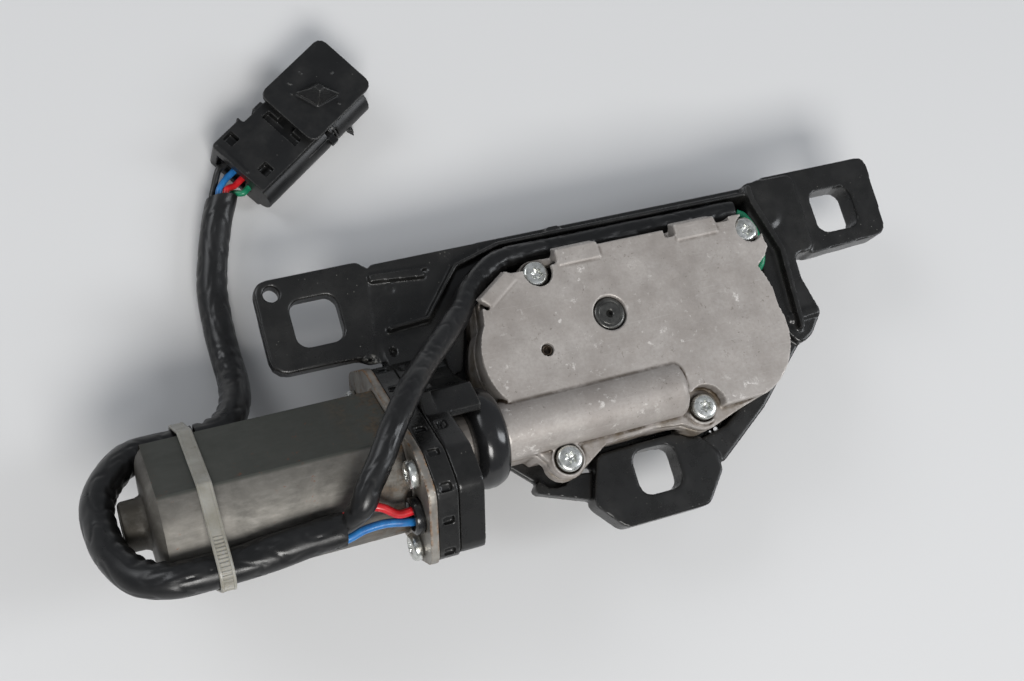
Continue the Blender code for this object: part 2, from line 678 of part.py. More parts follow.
def slot_block(angle, inner, outer, width, start, end, material, name="bar"):
    """A straight bar along the motor, standing out from its axis at the given angle."""
    side = width / 2
    flat = [(inner, -side), (outer, -side), (outer, side), (inner, side)]
    outline = [(a * math.cos(angle) - b * math.sin(angle), a * math.sin(angle) + b * math.cos(angle))
               for a, b in flat]
    return prism_x(name, outline, start, end, material)


def armature_core(steel):
    core = prism_x("armature_core", circle((0, 0), CORE_R, 40), *CORE_X, steel)
    slots = [slot_block(2 * math.pi * i / 8, 8.0, 20.0, 3.6, CORE_X[0] - 1, CORE_X[1] + 1, steel)
             for i in range(8)]
    bore = prism_x("bore", circle((0, 0), ARMATURE_R + GAP, 24), CORE_X[0] - 1, CORE_X[1] + 1, steel)
    return origin_at(cut(core, *slots, bore), (0, AXIS_Y, AXIS_Z))


def armature_windings(copper):
    """The copper coils: eight bundles in the slots, joined by the heads at both ends."""
    low, high = CORE_X
    profile_rear = [(6.0, low - 6.5), (13.0, low - 6.5), (15.5, low - 4), (15.5, low - GAP), (6.0, low - GAP)]
    coils = turned("armature_windings", profile_rear, copper, along_x=True, steps=20)
    profile_front = [(6.0, high + GAP), (15.5, high + GAP), (15.5, high + 4), (12.0, high + 7.5),
                     (6.0, high + 7.5)]
    front = turned("front", profile_front, copper, along_x=True, steps=20)
    bars = [slot_block(2 * math.pi * i / 8, 8.4, 15.0, 2.9, low - 2, high + 2, copper) for i in range(8)]
    fuse(coils, *bars, front)
    return origin_at(coils, (0, AXIS_Y, AXIS_Z))


def commutator(copper):
    low, high = COMMUTATOR_X
    bore = ARMATURE_R + GAP
    profile = [(bore, low), (COMMUTATOR_R, low), (COMMUTATOR_R, high), (bore, high)]
    made = turned("commutator", profile, copper, along_x=True, steps=32)
    slots = [slot_block(2 * math.pi * (i + 0.5) / 8, 7.6, 12, 0.6, low - 1, high + 1, copper)
             for i in range(8)]
    return origin_at(cut(made, *slots), (0, AXIS_Y, AXIS_Z))


def brush_gear(black, carbon, steel):
    """The holder plate between flange and seat, with two brushes and their springs in its channels."""
    holder = prism_x("brush_holder", flange_outline(0.8), *HOLDER_X, black)
    cuts = [prism_x("middle", circle((0, 0), 10.4), -100, -70, black)]
    cuts += [prism_x("hole", circle(flange_point(*place), 2.6, 16), -100, -70, black)
             for place in MOTOR_SCREWS]
    cuts.append(prism_x("lead_hole", circle(flange_point(31.5, 0), 4.4, 20), -100, -70, black))
    made = []
    for i, angle in enumerate((FLAT_TURN, FLAT_TURN + math.pi)):
        cuts.append(slot_block(angle, 5.0, 19.2, 5.6, HOLDER_X[0] - 1, BRUSH_X + 2.7, black))
        made.append(slot_block(angle, COMMUTATOR_R + GAP, 14.6, 5.0, BRUSH_X - 2.4, BRUSH_X + 2.4, carbon,
                               f"brush_{i + 1}"))
        route = []
        for k in range(49):
            turn = 2 * math.pi * k / 12
            out = 15.5 + 2.9 * k / 48
            y, z = 1.55 * math.cos(turn), 1.55 * math.sin(turn)
            route.append((BRUSH_X + y, AXIS_Y + out * math.cos(angle) - z * math.sin(angle),
                          AXIS_Z + out * math.sin(angle) + z * math.cos(angle)))
        made.append(tube(f"brush_spring_{i + 1}", route, 0.25, steel, spacing=1.2, rounds=0))
    return [cut(holder, *cuts)] + made


def bearings(bronze, steel, rubber):
    rings = []
    for name, low, high, outer, material in (("rear_bush", -180.0, -173.5, 6.5, bronze),
                                             ("neck_bearing", -64.5, -59.5, 7.7, steel),
                                             ("front_bush", 9.0, 15.5, 7.7, bronze)):
        profile = [(ARMATURE_R + 0.1, low), (outer, low), (outer, high), (ARMATURE_R + 0.1, high)]
        rings.append(turned(name, profile, material, along_x=True, steps=24))
    dome = dome_profile(TUNNEL_R + GAP, 18.0, *SEAL_X)
    rings.append(turned("neck_seal", dome, rubber, along_x=True, steps=32))
    return rings


def dome_profile(inner, outer, low, high):
    """The neck seal's section: a thick ring with well rounded outer edges."""
    corners = [(inner, low, 0), (outer, low, 4.6), (outer, high, 5.4), (inner, high, 0)]
    return filleted(corners, 5)


# ---------------------------------------------------------------- carrier

def carrier_bracket(black):
    """The moulded carrier: left plate and tab, top rail, web, right arm and tab, lower tab, motor seat."""
    tab_left = [(-121, 42.5, 5), (-121.5, 7.5, 6), (-90, 7.2, 4), (-82, 3, 4), (-79, -6, 3), (-55, -6, 3),
                (-50, 9, 4), (-44, 20, 4), (-32, 30, 3), (-30, 40.6, 0), (-77, 40.6, 2), (-79.5, 38.8, 1),
                (-81.5, 42.5, 4)]
    bracket = prism("carrier_bracket", filleted(tab_left), 33.0, 39.0, black)
    web = [(-77, -4, 4), (-77, 38.5, 3), (80, 38.5, 4), (86, 0, 6), (80, -22, 5), (60, -41, 5), (30, -50, 6),
           (-18, -50, 6), (-36, -52, 5), (-46, -42, 5), (-50, -20, 4)]
    rail = [(-36, 36.3, 0), (-36, 40.6, 0), (76, 40.6, 2), (86, 43, 2), (90, 36.3, 0)]
    arm = [(77, 42, 3), (100, 42, 3), (99.5, 9, 4), (90, 10, 3), (89.5, 0, 2), (93, -15, 4), (86, -23, 4),
           (80, -26, 3), (72.5, -15, 3), (72, -6, 4), (74.5, 8, 3), (75.5, 30, 2)]
    tab_right = [(80, 41.5, 4), (88, 43.5, 4), (136, 43.8, 4), (134.5, 10.3, 5), (99, 8.6, 2), (84, 16, 3)]
    tab_low = [(-18, -57, 4), (-14, -47, 4), (25, -46.5, 4), (33, -58, 3), (32.5, -64.5, 2), (23.5, -75.5, 5),
               (-11, -75.5, 5), (-20.5, -64.5, 4)]
    brace_right = [(24, -52, 2), (34, -62, 2), (58, -45.5, 3), (82, -24, 2), (76, -17, 2), (60, -36, 3),
                   (40, -48.5, 2)]
    brace_left = [(-41, -54, 2), (-17, -63, 2), (-16, -52, 2), (-36, -50, 2)]
    left_wall = [(-79, 36, 2), (-79, 0, 2), (-74, 0, 1), (-74, 36, 1)]
    solids = [
        prism("web", filleted(web), 26.3, 29.7, black),
        prism("left_wall", filleted(left_wall), 28.0, 36.0, black),
        prism("rail", filleted(rail), 28.0, 39.5, black),
        prism("arm", filleted(arm), 27.0, 40.0, black),
        prism("tab_right", filleted(tab_right), 28.0, 38.5, black),
        prism("tab_low", filleted(tab_low), 28.5, 38.0, black),
        prism("brace_right", filleted(brace_right), 27.0, 37.0, black),
        prism("brace_left", filleted(brace_left), 27.0, 33.0, black),
    ]
    fuse(bracket, *solids, *rims(black), *motor_seat(black))
    return cut(bracket, *bracket_holes(black))


def rims(black):
    """The thin upright rims on the carrier, and its rib and clip bump."""
    route = [(77, 37.2), (-29, 37.6), (-47.5, 32.8), (-62.5, 16.0), (-78, 15.0)]
    line = [Vector(p) for p in route]
    left, right = [], []
    for i, here in enumerate(line):
        before = (here - line[i - 1]).normalized() if i else (line[1] - here).normalized()
        after = (line[i + 1] - here).normalized() if i + 1 < len(line) else before
        normal = Vector((-(before + after).y, (before + after).x)).normalized()
        left.append(tuple(here + normal * 0.8))
        right.append(tuple(here - normal * 0.8))
    rim = prism("rim", left + right[::-1], 36.0, 43.0, black)
    rib_corners = [(-78, 36.2, 0.4), (-78, 34.4, 0.4), (-57, 34.2, 0.6), (-57, 34.9, 0.3)]
    rib = prism("rib", filleted(rib_corners, 2), 37, 41.0, black)
    bump_corners = [(-9.5, 36.6, 1), (-2.5, 36.6, 1), (-3, 40.2, 1.2), (-9, 40.2, 1.2)]
    bump = prism("bump", filleted(bump_corners, 3), 38, 41.5, black)
    arm_corners = [(76, 40, 0.5), (76, 33, 1), (82, 12, 1), (80, -20, 1), (82, -20.5, 1), (84.5, 12, 1),
                   (78.5, 34, 1), (78.5, 40, 0.5)]
    arm_rim = prism("arm_rim", filleted(arm_corners, 2), 38, 44, black)
    return [rim, rib, bump, arm_rim]


def motor_seat(black):
    """The block that the motor is screwed to, and the curved saddle between it and the left plate."""
    seat = prism_x("seat", flange_outline(1.4), *SEAT_X, black)
    hollow = [(46, -15), (46, -10.6), (36, -9.5), (29, -6), (24, 0), (20.5, 7), (18, 15), (9, 20), (2, 12),
              (10, -6), (26, -22), (34, -22), (40, -16)]
    saddle = prism_x("saddle", hollow, SEAT_X[0], SEAL_X[0] + 4, black)
    bracing = [(17, 19.5), (22, 8), (27, -1), (31, -6), (24, -8), (8, 10), (5, 20)]
    step = prism_x("step", bracing, SEAT_X[0], SEAT_X[0] + 4.5, black)
    return [seat, saddle, step]


def bracket_holes(black):
    lead_place = flange_point(31.5, 0)
    holes = [
        prism("hole", filleted([(-110.3, 33, 4.5), (-110.3, 15.3, 4.5), (-92.7, 15.3, 4.5),
                                (-92.7, 33, 4.5)]), 20, 60, black),
        prism("hole", filleted([(105, 33.5, 4.5), (105, 15.8, 4.5), (124, 15.8, 4.5), (124, 33.5, 4.5)]),
              20, 60, black),
        prism("hole", filleted([(-1.4, -49.4, 4.5), (-1.4, -66.4, 4.5), (16.2, -66.4, 4.5),
                                (16.2, -49.4, 4.5)]), 20, 60, black),
        cylinder("round", (-115.0, 37.0), 2.9, 20, 60, black, 20),
        cylinder("boss_hole", (0, 0), 12.2, 20, 35, black, 40),
        prism_x("neck_hole", circle((0, 0), TUNNEL_R + 0.6), -90, SEAT_X[1] + 1, black),
        prism_x("seal_room", circle((0, 0), 18.7), SEAT_X[1], -40, black),
        prism_x("lead_hole", circle(lead_place, 3.0, 16), SEAT_X[0] - 3, SEAT_X[0] + 3, black),
        prism_x("holder_room", flange_outline(-0.6), FLANGE_X[0] - 4, HOLDER_X[1] + GAP, black),
        prism("gearbox_room", inset(flange_strip_outline(), -0.4), BASE_BOTTOM_Z - GAP, 80, black),
    ]
    holes += [cylinder("hole", place, 2.3, 20, 35, black, 16) for place in BRACKET_SCREWS]
    for place in MOTOR_SCREWS:
        outline = circle(flange_point(*place), 2.4, 16)
        holes.append(prism_x("screw_hole", outline, SEAT_X[0] - 3, SEAT_X[1] - 2.5, black))
    return holes


# ---------------------------------------------------------------- harness

HARNESS_HELD = [
    (-118.0, -52.7, 72.8), (-128, -53.0, 72.5), (-140, -53.8, 71.9), (-151, -54.5, 71.3), (-166, -54.7, 71.2),
    (-173.5, -54.0, 70.2), (-182.0, -50.2, 66.2), (-187.4, -42.0, 59.3), (-189.5, -32.3, 52.0),
    (-188.6, -22.0, 45.4), (-182.6, -13.2, 39.0), (-175.0, -7.4, 33.3), (-167, -6.5, 31.3),
    (-159, -6.7, 31.1), (-152.4, -6.6, 31.1),
]
HARNESS_FREE = [
    (-151.6, -6.6, 31.1), (-146.5, -6.3, 30.8), (-140, -2.8, 27.2), (-134.5, 4.5, 20.4), (-132, 14.0, 13.0),
    (-131.5, 25, 7.8), (-131.2, 38, 6.0), (-130, 52, 5.9), (-126.5, 65, 6.0), (-122.4, 76.5, 6.3),
    (-118.2, 86.0, 6.8),
]
CONTROL = [
    (-111.2, -47.3, 81.9), (-108.2, -42.4, 83.4), (-103, -35.8, 84.2), (-95.3, -25.3, 84.0),
    (-85.6, -14.2, 78.3), (-74.8, -4.4, 68.2), (-62.3, 5.8, 59.2), (-54.4, 12.4, 53.2), (-48.1, 20.0, 48.5),
    (-40.4, 26.0, 45.4), (-30.8, 30.9, 43.5), (-18, 31.7, 41.9), (-5, 31.7, 41.2), (30, 31.7, 41.0),
    (52, 31.7, 41.0), (64, 31.7, 41.0), (68.0, 31.3, 41.0),
]
GREEN = [
    (70.0, 30.6, 41.1), (72.8, 28.2, 41.4), (74.8, 20.0, 42.4), (73.8, 9.6, 41.6), (67.5, 4.7, 39.9),
    (58.5, 4.6, 39.6),
]
RED = [(-99.5, -52.5, 73.6), (-104.5, -49.4, 75.4), (-110, -47.8, 75.5), (-117.4, -49.2, 75.2)]
BLUE = [(-97.5, -55.4, 71.2), (-104, -54.2, 71.4), (-111, -54.4, 70.9), (-117.4, -55.8, 70.2)]


def leads(black, red, blue, green, sleeve):
    made = [
        tube("harness_sleeve", HARNESS_HELD, SLEEVE_R, sleeve, spacing=9.0, rounds=3),
        tube("harness_lead", HARNESS_FREE, SLEEVE_R, sleeve, spacing=6.0, rounds=3),
        tube("control_sleeve", CONTROL, CONTROL_R, sleeve, spacing=9.0, rounds=3),
        tube("green_wire", GREEN, LEAD_R, green),
    ]
    hole_y, hole_z = flange_point(31.5, 0)
    for name, route, shift, colour in (("red_lead", RED, 1.7, red), ("blue_lead", BLUE, -1.7, blue)):
        start = (FLANGE_X[0] - 2.0, AXIS_Y + hole_y + shift, AXIS_Z + hole_z + shift)
        made.append(tube(name, [start] + route, LEAD_R, colour))
    return made


def lead_grommet(rubber):
    """The grommet in the flange's lead hole, with a round collar on the motor side."""
    y, z = flange_point(31.5, 0)
    outline = circle((y, z), 5.4, 24)
    made = prism_x("lead_grommet", outline, FLANGE_X[0] - 0.5, FLANGE_X[1] - 0.2, rubber)
    collar = prism_x("collar", circle((y, z), 6.4, 24), FLANGE_X[0] - 3.4, FLANGE_X[0] - GAP, rubber)
    fuse(made, collar)
    pocket = prism_x("pocket", circle((y, z), 4.4, 24), FLANGE_X[0] - 4, FLANGE_X[0] - 1.6, rubber)
    return cut(made, pocket)


def cable_tie(nylon):
    """A band drawn tight round the can and both runs of the sleeve, with its head at the back."""
    reach = CAN_R + SLEEVE_R + 0.5
    rounds = [can_outline(CAN_R + GAP, CAN_FLAT + GAP, 20)]
    for angle in (135.6, -36.0):
        place = (reach * math.cos(math.radians(angle)), reach * math.sin(math.radians(angle)))
        rounds.append(circle(place, SLEEVE_R + 0.6, 28))
    inner = convex_hull([point for ring in rounds for point in ring])
    outer = inset(inner, -1.3)
    band = prism_x("cable_tie", outer, *TIE_X, nylon)
    head = prism_x("head", filleted([(4, -20, 0), (3.5, -31.4, 1), (12, -31.0, 1), (12, -20, 0)], 2),
                   TIE_X[0] - 1.2, TIE_X[1] + 1.2, nylon)
    fuse(band, head)
    return cut(band, prism_x("inside", inner, TIE_X[0] - 2, TIE_X[1] + 2, nylon))


def on_connector(target):
    """Moves a piece made at the origin to the connector's place on the ground."""
    place = Matrix.Translation(Vector((*CONNECTOR, 0)) * MM) @ Matrix.Rotation(CONNECTOR_TURN, 4, "Z")
    target.data.transform(place)
    return target


def connector_parts(black):
    """The housing with its socket, the slide-on clip plate and the sliding lock."""
    length, width, height = CONNECTOR_SIZE
    x, y = length / 2, width / 2
    front = x + 6
    outline = [(-x, -y + 4, 1), (front - 16, -y + 4, 1), (front - 16, -y + 6, 1), (front, -y + 6, 2),
               (front, y - 2, 2), (-9.5, y - 2, 1), (-9.5, y, 1), (-x, y, 1.5)]
    body = prism("connector_housing", filleted(outline, 2), 0.3, height - 0.5, black)
    barrel = loft("barrel", [[(px, -y + 6 + a, 7.6 + b) for a, b in circle((0, 0), 6.4, 20)]
                             for px in (-x + 0.6, front + 2.5)], black)
    fuse(body, barrel)
    deep, out = front - 17, front + 4
    mouth = [(deep, -y + 7, 1), (out, -y + 7, 1), (out, y - 4.5, 1), (deep, y - 4.5, 1)]
    socket = prism("socket", filleted(mouth, 2), 3.0, 13.0, black)
    windows = [block("window", (-x + 5.2, b, 12.5), (-x + 9.6, b + 4.4, 20), black) for b in (-7.9, 9.4)]
    track = block("track", (-3, -y + 1.0, 9.9), (x - 7, -y + 3.9, 12.9), black)
    thumb_slot = block("thumb_slot", (9, -y - 3, 9.9), (16, -y + 2, 12.9), black)
    cut(body, socket, *windows, track, thumb_slot)
    corners = [(1.8, -12.0, 3.5), (36.8, -12.0, 3.5), (36.8, 15.6, 3.5), (1.8, 15.6, 3.5)]
    plate = prism("connector_clip", filleted(corners), 18.2, 20.2, black)
    foot = block("foot", (12, -5, height - 0.5 + GAP), (24, 9, 18.7), black)
    stem = block("stem", (16, -1.6, 19.5), (19, 1.6, 25.5), black)
    dart = loft("dart", [dart_ring(8.5, 5.0, 22.3), dart_ring(1.6, 1.2, 27.5)], black)
    fuse(plate, foot, stem, dart)
    lock = block("connector_lock", (-1, -y + 1.3, 10.2), (14, -y + 3.6, 12.6), black)
    thumb = block("thumb", (10, -y - 1.6, 10.2), (13, -y + 2, 12.6), black)
    fuse(lock, thumb)
    return [on_connector(piece) for piece in (body, plate, lock)]


def dart_ring(half_length, half_width, z):
    """A diamond set at 45 degrees on the clip plate, round the place of its dart."""
    slant = math.sqrt(0.5)
    ring = []
    for a, b in ((-half_length, 0), (0, -half_width), (half_length, 0), (0, half_width)):
        ring.append((17.5 + slant * (a + b), slant * (b - a), z))
    return ring


def connector_wires(red, blue, green, black):
    """Four short wires from the cut end of the sleeve into the back of the connector."""
    end = Vector(HARNESS_FREE[-1])
    heading = (end - Vector(HARNESS_FREE[-2])).normalized()
    side = Vector((heading.y, -heading.x, 0)).normalized()
    turn = Matrix.Rotation(CONNECTOR_TURN, 3, "Z")
    made = []
    wires = (("wire_green", green, 3.4, -1.0), ("wire_red", red, 1.2, 2.4), ("wire_blue", blue, -1.4, 2.2),
             ("wire_black", black, -3.6, -0.8))
    for i, (name, colour, spread, rise) in enumerate(wires):
        start = end + heading * 0.4 + side * spread + Vector((0, 0, rise))
        goal = Vector((*CONNECTOR, 0)) + turn @ Vector((-CONNECTOR_SIZE[0] / 2 - 0.4, -4.5 + 4.2 * i, 7.5))
        before = goal - turn @ Vector((2.6, 0, -0.2))
        made.append(tube(name, [start, start + heading * 3, before, goal], 1.25, colour, spacing=2.6))
    return made


# ---------------------------------------------------------------- assembly

def build():
    for old in list(bpy.data.objects):
        bpy.data.objects.remove(old, do_unlink=True)
    die_cast = paint("die_cast", (0.37, 0.35, 0.33), 0.55, 0.6)
    moulded = paint("black_plastic", (0.02, 0.02, 0.021), 0.32)
    can_steel = paint("can_steel", (0.34, 0.32, 0.29), 0.42, 0.8)
    flange_steel = paint("flange_steel", (0.27, 0.24, 0.21), 0.5, 0.8)
    zinc = paint("zinc", (0.66, 0.67, 0.66), 0.28, 1.0)
    dark_steel = paint("dark_steel", (0.12, 0.12, 0.12), 0.38, 0.9)
    bronze = paint("bronze", (0.45, 0.28, 0.12), 0.45, 0.9)
    copper = paint("copper", (0.55, 0.24, 0.12), 0.4, 0.9)
    ferrite = paint("ferrite", (0.05, 0.05, 0.055), 0.7)
    carbon = paint("carbon", (0.03, 0.03, 0.03), 0.6)
    rubber = paint("rubber", (0.015, 0.015, 0.016), 0.22)
    sleeve = paint("sleeve", (0.017, 0.017, 0.018), 0.35)
    nylon = paint("nylon", (0.62, 0.6, 0.52), 0.45)
    acetal = paint("acetal", (0.75, 0.74, 0.68), 0.4)
    board = paint("board", (0.03, 0.17, 0.08), 0.4)
    red = paint("red_wire", (0.5, 0.01, 0.015), 0.35)
    blue = paint("blue_wire", (0.02, 0.14, 0.42), 0.35)
    green = paint("green_insulation", (0.01, 0.2, 0.09), 0.35)
    gasket_grey = paint("gasket", (0.1, 0.1, 0.1), 0.7)

    gear_cover(die_cast)
    gear_base(die_cast)
    gasket(gasket_grey)
    for i, place in enumerate(SCREWS):
        screw(f"cover_screw_{i + 1}", place, SEAT_Z + GAP, 13.0, zinc)
    for i, place in enumerate(BRACKET_SCREWS):
        screw(f"bracket_screw_{i + 1}", place, 26.0, 8.2, zinc, facing=-1, shank_r=1.55, head_r=3.8)
    worm_wheel(acetal)
    output_gear(acetal)
    armature_shaft(dark_steel)
    spindle_parts(dark_steel, bronze, rubber)
    control_parts(board, moulded, zinc, bronze)
    motor_can(can_steel)
    motor_flange(flange_steel)
    motor_screws(zinc)
    magnets(ferrite)
    armature_core(dark_steel)
    armature_windings(copper)
    commutator(copper)
    brush_gear(moulded, carbon, dark_steel)
    bearings(bronze, dark_steel, rubber)
    carrier_bracket(moulded)
    leads(moulded, red, blue, green, sleeve)
    lead_grommet(rubber)
    cable_tie(nylon)
    connector_parts(moulded)
    connector_wires(red, blue, green, moulded)


build()
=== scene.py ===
"""Looks of the rear wiper drive unit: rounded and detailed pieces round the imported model,
their materials, the floor, the lights and the camera. Places are in millimetres, in the
frame of the model, and MM turns them into metres."""

import json
import math

import bmesh
import bpy
import numpy as np
from mathutils import Matrix, Vector, noise


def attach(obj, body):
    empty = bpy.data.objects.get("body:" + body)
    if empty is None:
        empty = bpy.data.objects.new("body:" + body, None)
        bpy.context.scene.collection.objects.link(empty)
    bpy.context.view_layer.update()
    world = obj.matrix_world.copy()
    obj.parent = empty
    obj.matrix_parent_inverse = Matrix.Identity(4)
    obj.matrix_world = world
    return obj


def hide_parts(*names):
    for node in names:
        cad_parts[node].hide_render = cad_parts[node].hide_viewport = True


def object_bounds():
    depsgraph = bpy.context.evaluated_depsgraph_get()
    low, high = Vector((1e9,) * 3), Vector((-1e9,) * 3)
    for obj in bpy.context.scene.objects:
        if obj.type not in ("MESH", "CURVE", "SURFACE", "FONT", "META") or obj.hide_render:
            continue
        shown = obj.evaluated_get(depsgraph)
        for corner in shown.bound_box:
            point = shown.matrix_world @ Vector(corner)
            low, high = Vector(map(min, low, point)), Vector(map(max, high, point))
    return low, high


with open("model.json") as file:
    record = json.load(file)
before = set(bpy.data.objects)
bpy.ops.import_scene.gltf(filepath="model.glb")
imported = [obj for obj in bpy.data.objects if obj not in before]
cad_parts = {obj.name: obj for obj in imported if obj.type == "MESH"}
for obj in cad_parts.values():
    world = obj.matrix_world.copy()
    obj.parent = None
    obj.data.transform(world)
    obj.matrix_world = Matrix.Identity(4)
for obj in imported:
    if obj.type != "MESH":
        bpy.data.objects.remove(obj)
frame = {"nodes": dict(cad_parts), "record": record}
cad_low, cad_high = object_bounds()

MM = 0.001
NODE_WELD, SHAPE_WELD, TINY = 0.000002, 0.000004, 1e-9
MOULDED_SHARP_DEG = 50

# Levels and places that the model is built on
FACE_Z = 56.0
SEAT_Z = 50.0
COVER_BOTTOM_Z = 46.4
BASE_BOTTOM_Z = 30.0
TAB_Z, UNDER_Z, UNDER_RIB_Z = 39.5, 27.0, 24.2
AXIS_Y, AXIS_Z = -32.0, 49.5
PIN = (-27.354, -8.0)
LEFT_LOBE_R = 24.5
RIGHT_LOBE, RIGHT_LOBE_R = (43.0, -19.0), 24.7
TUNNEL_R = 10.5
TUNNEL_X = (-52.0, 20.0)
SEAL_X = (-64.8, -52.5)
COVER_SCREWS = ((-22.2, 20.7), (65.1, 20.3), (26.1, -41.3), (-29.9, -47.1))
SCREW_LIFT = 0.3
BRACKET_SCREWS = ((-42.0, -4.0), (-6.0, 18.5), (56.0, -14.0))
FLAT_TURN = math.radians(45)
CAN_R, CAN_FLAT, CAN_WALL = 25.0, 20.0, 1.5
CAN_FRONT_X, CAN_REAR_X, BOSS_END_X = -92.3, -175.0, -183.0
FLANGE_X, HOLDER_X, SEAT_X = (-92.0, -89.2), (-88.9, -81.6), (-81.3, -72.5)
MOTOR_SCREWS = ((29.0, 15.0), (29.0, -15.0), (-38.5, 0.0))
SHAFT_R = 6.0
SLEEVE_R, CONTROL_R, LEAD_R = 5.75, 4.4, 1.45
TIE_X = (-159.5, -154.5)
BROKEN_CORNER = (((-86.8, 4.2, 38.6), 4.0), ((-86.2, -1.2, 37.0), 3.6))
CONNECTOR, CONNECTOR_TURN = (-89.2, 106.0), math.radians(34)
CONNECTOR_SIZE = (50.0, 30.0, 16.5)
PORT_Z, WIRE_R = 7.5, 1.25

# The material slot of every node, and the finish that each slot is shown with
SLOTS = {row["node"]: row["material_slot"] for row in frame["record"]["subparts"]}
FINISHES = {}

# How far a sleeve's open end goes in, and the routes of the cords, as in the model
MOUTH_DEPTH = 5.0
HARNESS_HELD = [
    (-118.0, -52.7, 72.8), (-128, -53.0, 72.5), (-140, -53.8, 71.9), (-151, -54.5, 71.3), (-166, -54.7, 71.2),
    (-173.5, -54.0, 70.2), (-182.0, -50.2, 66.2), (-187.4, -42.0, 59.3), (-189.5, -32.3, 52.0),
    (-188.6, -22.0, 45.4), (-182.6, -13.2, 39.0), (-175.0, -7.4, 33.3), (-167, -6.5, 31.3),
    (-159, -6.7, 31.1), (-152.4, -6.6, 31.1),
]
HARNESS_FREE = [
    (-151.6, -6.6, 31.1), (-146.5, -6.3, 30.8), (-140, -2.8, 27.2), (-134.5, 4.5, 20.4), (-132, 14.0, 13.0),
    (-131.5, 25, 7.8), (-131.2, 38, 6.0), (-130, 52, 5.9), (-126.5, 65, 6.0), (-122.4, 76.5, 6.3),
    (-118.2, 86.0, 6.8),
]
CONTROL = [
    (-111.2, -47.3, 81.9), (-108.2, -42.4, 83.4), (-103, -35.8, 84.2), (-95.3, -25.3, 84.0),
    (-85.6, -14.2, 78.3), (-74.8, -4.4, 68.2), (-62.3, 5.8, 59.2), (-54.4, 12.4, 53.2), (-48.1, 20.0, 48.5),
    (-40.4, 26.0, 45.4), (-30.8, 30.9, 43.5), (-18, 31.7, 41.9), (-5, 31.7, 41.2), (30, 31.7, 41.0),
    (52, 31.7, 41.0), (64, 31.7, 41.0), (68.0, 31.3, 41.0),
]
GREEN = [
    (70.0, 30.6, 41.1), (72.8, 28.2, 41.4), (74.8, 20.0, 42.4), (73.8, 9.6, 41.6), (67.5, 4.7, 39.9),
    (58.5, 4.6, 39.6),
]
RED = [(-99.5, -52.5, 73.6), (-104.5, -49.4, 75.4), (-110, -47.8, 75.5), (-117.4, -49.2, 75.2)]
BLUE = [(-97.5, -55.4, 71.2), (-104, -54.2, 71.4), (-111, -54.4, 70.9), (-117.4, -55.8, 70.2)]

# Camera: 50 mm lens on a full frame, above the motor and turned as the part was held
LENS_MM, SENSOR_MM = 50.0, 36.0
CAMERA_PLACE = Vector((-0.2013, -0.0923, 0.5245))
CAMERA_RIGHT = Vector((0.9224, -0.2796, 0.2648))
CAMERA_UP = Vector((0.2121, 0.9436, 0.2554))


# ---------------------------------------------------------------- camera, lights and floor

def make_camera():
    data = bpy.data.cameras.new("camera")
    data.lens, data.sensor_width = LENS_MM, SENSOR_MM
    data.clip_start, data.clip_end = 0.01, 20
    camera = bpy.data.objects.new("camera", data)
    bpy.context.scene.collection.objects.link(camera)
    right = CAMERA_RIGHT.normalized()
    back = right.cross(CAMERA_UP).normalized()
    turn = Matrix((right, back.cross(right), back)).transposed().to_4x4()
    camera.matrix_world = Matrix.Translation(CAMERA_PLACE) @ turn
    bpy.context.scene.camera = camera


def area_light(name, place, aim, size, watts, colour=(1.0, 1.0, 1.0)):
    data = bpy.data.lights.new(name, "AREA")
    data.shape = "RECTANGLE"
    data.size, data.size_y = size
    data.energy = watts
    data.color = colour
    lamp = bpy.data.objects.new(name, data)
    bpy.context.scene.collection.objects.link(lamp)
    lamp.location = place
    lamp.rotation_euler = (Vector(aim) - Vector(place)).to_track_quat("-Z", "Y").to_euler()


def make_lights():
    world = bpy.data.worlds.new("studio")
    bpy.context.scene.world = world
    world.use_nodes = True
    sky = world.node_tree.nodes["Background"]
    sky.inputs["Color"].default_value = (0.86, 0.9, 0.96, 1)
    sky.inputs["Strength"].default_value = 0.34
    area_light("key", (-0.35, -1.3, 1.5), (-0.03, 0, 0.03), (0.9, 0.7), 32, (1.0, 0.985, 0.96))
    area_light("window", (1.5, -0.4, 1.2), (-0.03, 0, 0.03), (0.5, 1.1), 13, (0.93, 0.96, 1.0))
    area_light("fill", (-1.2, 1.1, 1.3), (-0.03, 0, 0.03), (1.0, 0.8), 9, (0.95, 0.97, 1.0))


def make_floor():
    bpy.ops.mesh.primitive_plane_add(size=12, location=(0, 0, cad_low.z - 0.0004))
    floor = bpy.context.object
    floor.name = "floor"
    made = bpy.data.materials.new("floor_paper")
    made.use_nodes = True
    shader = made.node_tree.nodes["Principled BSDF"]
    shader.inputs["Base Color"].default_value = (0.60, 0.60, 0.60, 1)
    shader.inputs["Roughness"].default_value = 0.9
    floor.data.materials.append(made)


# ---------------------------------------------------------------- outlines

def arc(centre, radius, start_deg, end_deg, steps):
    cx, cy = centre
    angles = [math.radians(start_deg + (end_deg - start_deg) * i / steps) for i in range(steps + 1)]
    return [(cx + radius * math.cos(a), cy + radius * math.sin(a)) for a in angles]


def angles_of(steps):
    return [2 * math.pi * i / steps for i in range(steps)]


def circle(centre, radius, steps=64):
    return arc(centre, radius, 0, 360, steps)[:-1]


